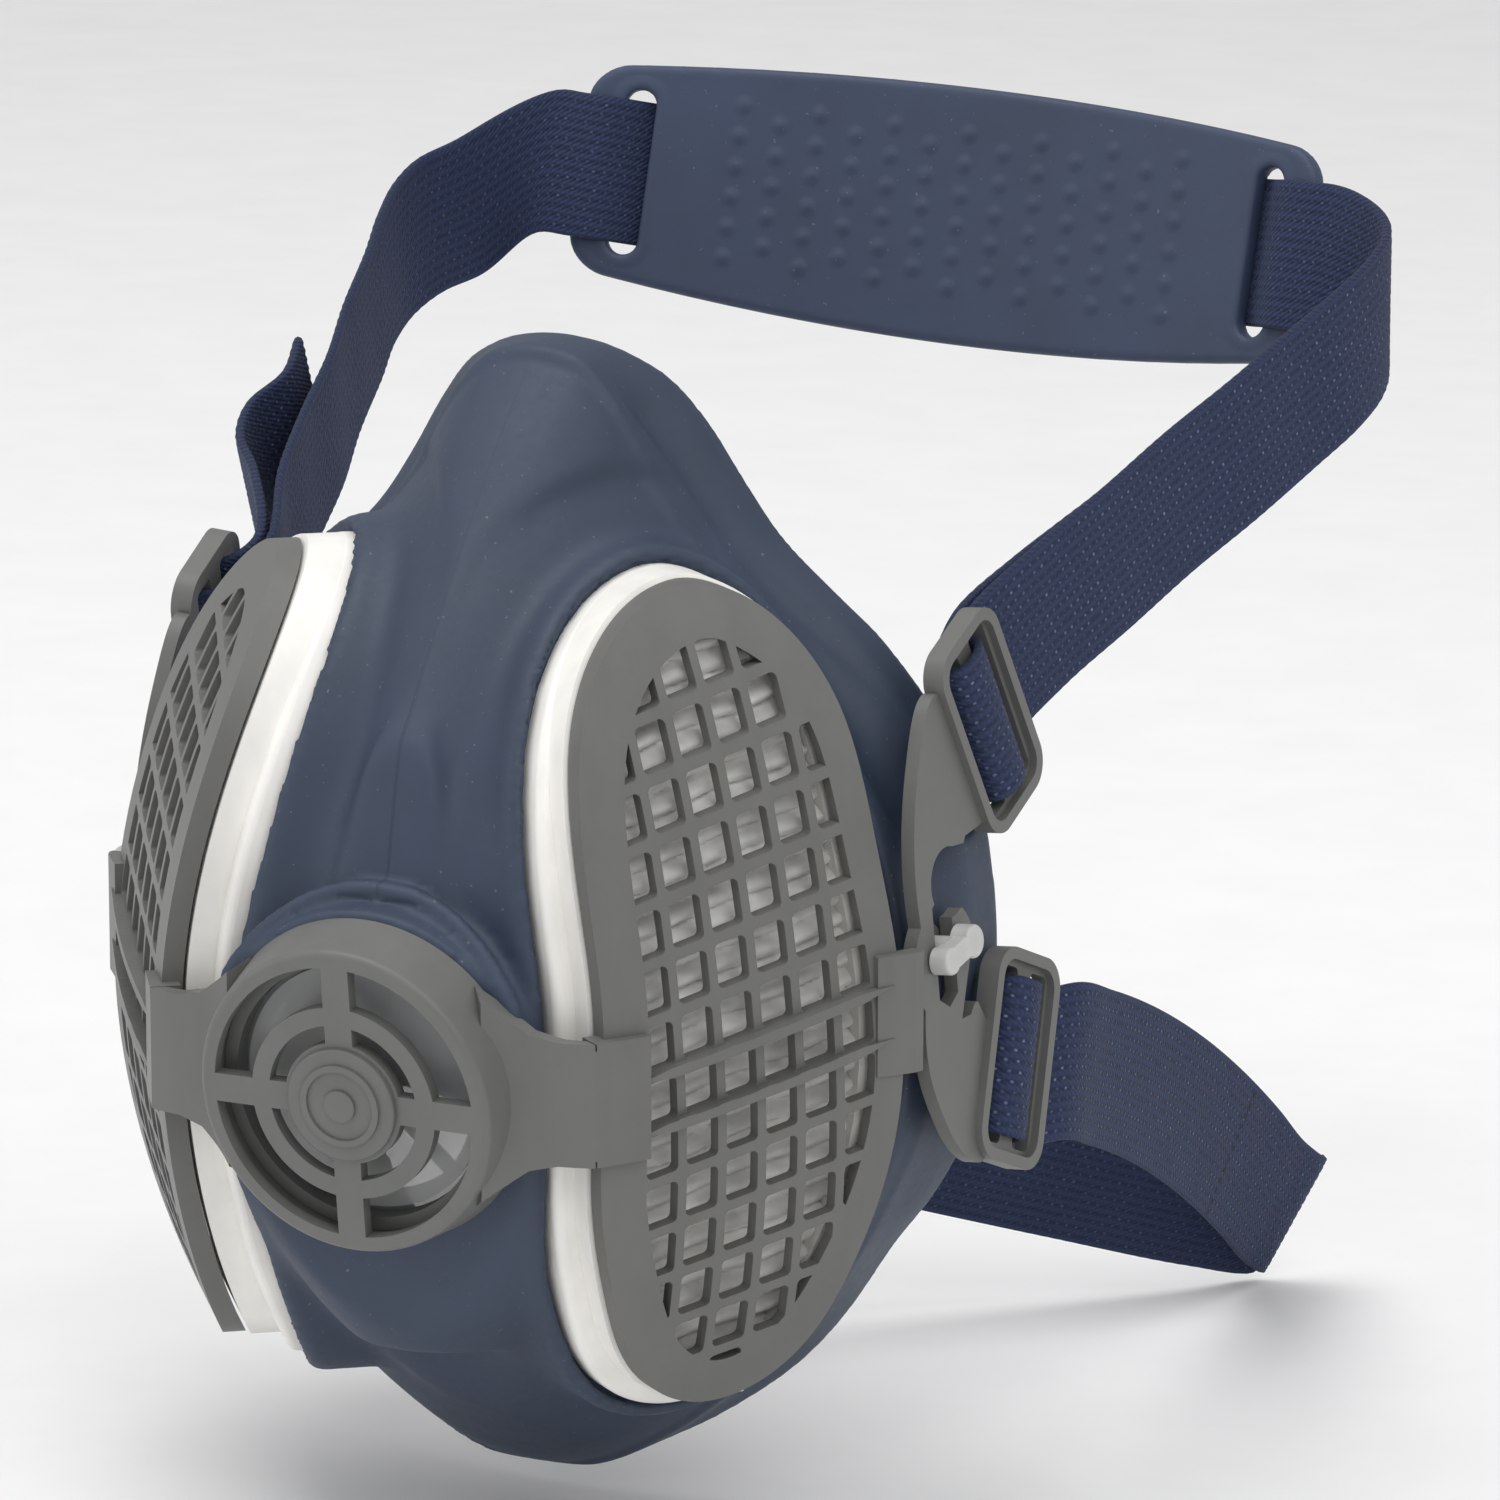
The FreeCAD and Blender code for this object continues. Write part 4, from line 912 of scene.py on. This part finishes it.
def webbing_look():
    """Ribbed elastic with pale stitches on its outer side and plain borders; lengths in millimetres."""
    base = linear(46, 56, 86)
    look = Look("woven_webbing", base, 0.8, Sheen_Weight=0.04, Sheen_Roughness=0.5, Specular_IOR_Level=0.25)
    split = look.node("ShaderNodeSeparateXYZ")
    look.link(look.place("weave"), split.inputs[0])
    across, along, side = split.outputs
    rib = look.math("MULTIPLY", across, RIBS * math.pi / WEB_WIDTH)
    ridge = look.math("COSINE", look.math("MULTIPLY", rib, 2.0))
    row = look.math("FLOOR", look.math("DIVIDE", rib, math.pi))
    shift = look.math("MULTIPLY", row, 2.1)
    beat = look.math("SINE", look.math("ADD", look.math("MULTIPLY", along, 2 * math.pi / 1.45), shift))
    stitch = look.math("MULTIPLY", look.spread(beat, 0.45, 0.95), look.spread(ridge, -0.95, -0.45, 1, 0))
    fleck_noise = look.noise(look.place("weave", (0.9, 0.5, 1)), 1.6, 3)
    fleck = look.math("MULTIPLY", stitch, look.spread(fleck_noise, 0.38, 0.66))
    border = look.spread(look.math("ABSOLUTE", across), 9.0, 9.35)
    outer = look.spread(side, -0.2, 0.2, 0.45, 1.0)
    fleck = look.math("MULTIPLY", fleck, look.spread(border, 0, 1, 1, 0.1))
    fleck = look.math("MULTIPLY", fleck, outer)
    cross = look.math("SINE", look.math("MULTIPLY", along, 2 * math.pi / 0.62))
    slant = look.math("MULTIPLY", along, 2 * math.pi / 0.95)
    slant = look.math("ADD", slant, look.math("MULTIPLY", across, 9.0))
    thread = look.math("SINE", slant)
    # painted shade and light: the colour is darker in the grooves between the ribs and lighter on their
    # crests, following the same ribs as the relief
    rib_shaded_weave = look.mix(look.spread(ridge, -0.9, 0.6), *shades(base, 0.72, 1.18))
    rib_shaded_weave = look.mix(look.spread(cross, -1, 1, 0.0, 0.35), rib_shaded_weave, *shades(base, 0.62))
    thread_line = look.spread(side, 1.2, 1.9)
    dashes = look.spread(look.math("SINE", look.math("MULTIPLY", across, 2 * math.pi / 1.6)), -0.4, 0.2)
    woven = look.mix(fleck, rib_shaded_weave, linear(116, 126, 156))
    look.colour(look.mix(look.math("MULTIPLY", thread_line, dashes), woven, linear(24, 28, 44)))
    height = look.math("ADD", look.math("MULTIPLY", ridge, 0.5), look.math("MULTIPLY", thread, 0.35))
    height = look.math("ADD", height, look.math("MULTIPLY", stitch, 0.6))
    look.bump(height, 0.00016, 0.8)
    look.bump(look.noise(look.place("weave"), 5.0, 3), 0.00006, 0.5)
    return look.material


def clear_look(name, colour, rough, solid):
    """Thin clear moulding, faintly hazy."""
    look = Look(name, colour, rough, IOR=1.45)
    at = look.place()
    haze = look.noise(at, 90, 2)
    look.colour(look.mix(look.spread(haze, 0.3, 0.7), *shades(colour, 0.92), colour))
    look.link(look.spread(haze, 0.3, 0.7, solid - 0.03, solid + 0.03), look.shader.inputs["Alpha"])
    look.bump(look.noise(at, 120, 1), 0.00003, 0.2)
    return look.material


def milky_look():
    """Translucent white nylon."""
    base = linear(232, 232, 230)
    look = Look("milky_nylon", base, 0.34, Transmission_Weight=0.35, Subsurface_Weight=0.5, IOR=1.5)
    look.shader.inputs["Subsurface Radius"].default_value = (0.0016, 0.0015, 0.0014)
    at = look.place()
    cloud = look.noise(at, 300, 3)
    look.colour(look.mix(look.spread(cloud, 0.3, 0.7), *shades(base, 0.9), base))
    look.rough(look.spread(cloud, 0.3, 0.7, 0.28, 0.42))
    look.bump(look.noise(at, 900, 2), 0.00005, 0.4)
    return look.material


def paint(obj, material):
    """Put the material in every slot of the object, or in its first."""
    if obj.material_slots:
        for slot in obj.material_slots:
            slot.material = material
    else:
        obj.data.materials.append(material)


# ---------------------------------------------------------------- assembly

LOOKS = {
    "face_rubber": rubber_look("moulded_rubber", (53, 64, 83), seam=True),
    "pad_rubber": rubber_look("pad_rubber", (57, 68, 92)),
    "grey_plastic": plastic_look("grey_polypropylene", (104, 104, 102), 0.46, Specular_IOR_Level=0.45),
    "white_plastic": plastic_look("white_polypropylene", (240, 238, 233), 0.42),
    "filter_medium": media_look(),
    "milky_plastic": milky_look(),
    "webbing": webbing_look(),
    "silicone": clear_look("silicone_film", (0.52, 0.53, 0.53), 0.25, 0.62),
    "clear_plastic": clear_look("clear_styrene", (0.30, 0.31, 0.32), 0.15, 0.6),
}
SLOTS = {row["node"]: row["material_slot"] for row in frame["record"]["subparts"]}

for node, obj in frame["nodes"].items():
    paint(obj, LOOKS[SLOTS[node]])

SIDES = (("right", 1), ("left", -1))

face = build_face_piece()
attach(face, "mask")
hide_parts("face_piece")
paint(face, LOOKS["face_rubber"])

pad = build_head_pad()
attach(pad, "upper_harness")
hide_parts("head_pad")
paint(pad, LOOKS["pad_rubber"])

upper = build_upper_strap()
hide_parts("upper_strap_back",
            *[f"{s}_upper_strap{part}" for s, _ in SIDES for part in ("", "_end", "_wrap", "_tail")])
paint(upper, LOOKS["webbing"])
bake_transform(upper)

neck = build_neck_strap()
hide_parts("neck_strap_fold",
            *[f"{s}_neck_strap{part}" for s, _ in SIDES for part in ("", "_end", "_wrap")])
paint(neck, LOOKS["webbing"])
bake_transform(neck)

for name, side in SIDES:
    media = build_media(f"{name}_filter_pleats", side)
    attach(media, "mask")
    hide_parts(f"{name}_filter_media")
    paint(media, LOOKS["filter_medium"])


# ---------------------------------------------------------------- studio

# metres, but lens and sensor in millimetres; angles round from the front, up, and of roll in degrees
FLOOR_SIZE = 14
FLOOR_GAP = 0.0006
CAMERA_TARGET = Vector((0, 0.061, 0.007))
CAMERA_ANGLES = (24.54, 13.86, 0.17)
CAMERA_DISTANCE = 1.03575
CAMERA_LENS = 188.92
CAMERA_SENSOR = 36
CAMERA_NEAR = 0.05


def studio_floor():
    """Pale paper just under the lowest point of the object."""
    low = CAD_BOX[0][2] - FLOOR_GAP
    bpy.ops.mesh.primitive_plane_add(size=FLOOR_SIZE, location=(0, 0, low))
    floor = bpy.context.object
    floor.name = "studio_floor"
    look = Look("studio_paper", (0.93, 0.93, 0.93), 0.7)
    grain = look.noise(look.place(), 40, 3)
    look.colour(look.mix(look.spread(grain, 0.3, 0.7), (0.92, 0.92, 0.92), (0.95, 0.95, 0.95)))
    paint(floor, look.material)


def soft_light(name, place, aim, size, power):
    """Square area light at a place, turned to a point."""
    light = bpy.data.lights.new(name, "AREA")
    light.shape = "SQUARE"
    light.size = size
    light.energy = power
    obj = bpy.data.objects.new(name, light)
    bpy.context.collection.objects.link(obj)
    obj.location = place
    obj.rotation_euler = (Vector(aim) - Vector(place)).to_track_quat("-Z", "Y").to_euler()


def studio_camera():
    """Camera round to the right of the front, a little above, with a slight roll."""
    turn, lift, roll = (math.radians(angle) for angle in CAMERA_ANGLES)
    back = Vector((math.sin(turn) * math.cos(lift), -math.cos(turn) * math.cos(lift), math.sin(lift)))
    right = Vector((math.cos(turn), math.sin(turn), 0))
    up = back.cross(right)
    right, up = (right * math.cos(roll) + up * math.sin(roll), up * math.cos(roll) - right * math.sin(roll))
    camera = bpy.data.objects.new("studio_camera", bpy.data.cameras.new("studio_camera"))
    camera.data.lens = CAMERA_LENS
    camera.data.sensor_width = CAMERA_SENSOR
    camera.data.clip_start = CAMERA_NEAR
    bpy.context.collection.objects.link(camera)
    turned = Matrix((right, up, back)).transposed().to_4x4()
    camera.matrix_world = Matrix.Translation(CAMERA_TARGET + back * CAMERA_DISTANCE) @ turned
    bpy.context.scene.camera = camera


studio_floor()
studio_camera()
soft_light("key", (0.9, -0.7, 1.1), (0, 0.03, 0), 0.9, 6)
soft_light("fill", (-1.2, -0.8, 0.5), (0, 0.03, 0), 1.2, 3)
soft_light("top", (-0.3, -0.2, 1.6), (0, 0.05, 0), 1.2, 14)
world = bpy.data.worlds.new("studio")
bpy.context.scene.world = world
bpy.context.scene.view_settings.view_transform = "Standard"
world.use_nodes = True
world.node_tree.nodes["Background"].inputs["Color"].default_value = (1, 1, 1, 1)
world.node_tree.nodes["Background"].inputs["Strength"].default_value = 0.55
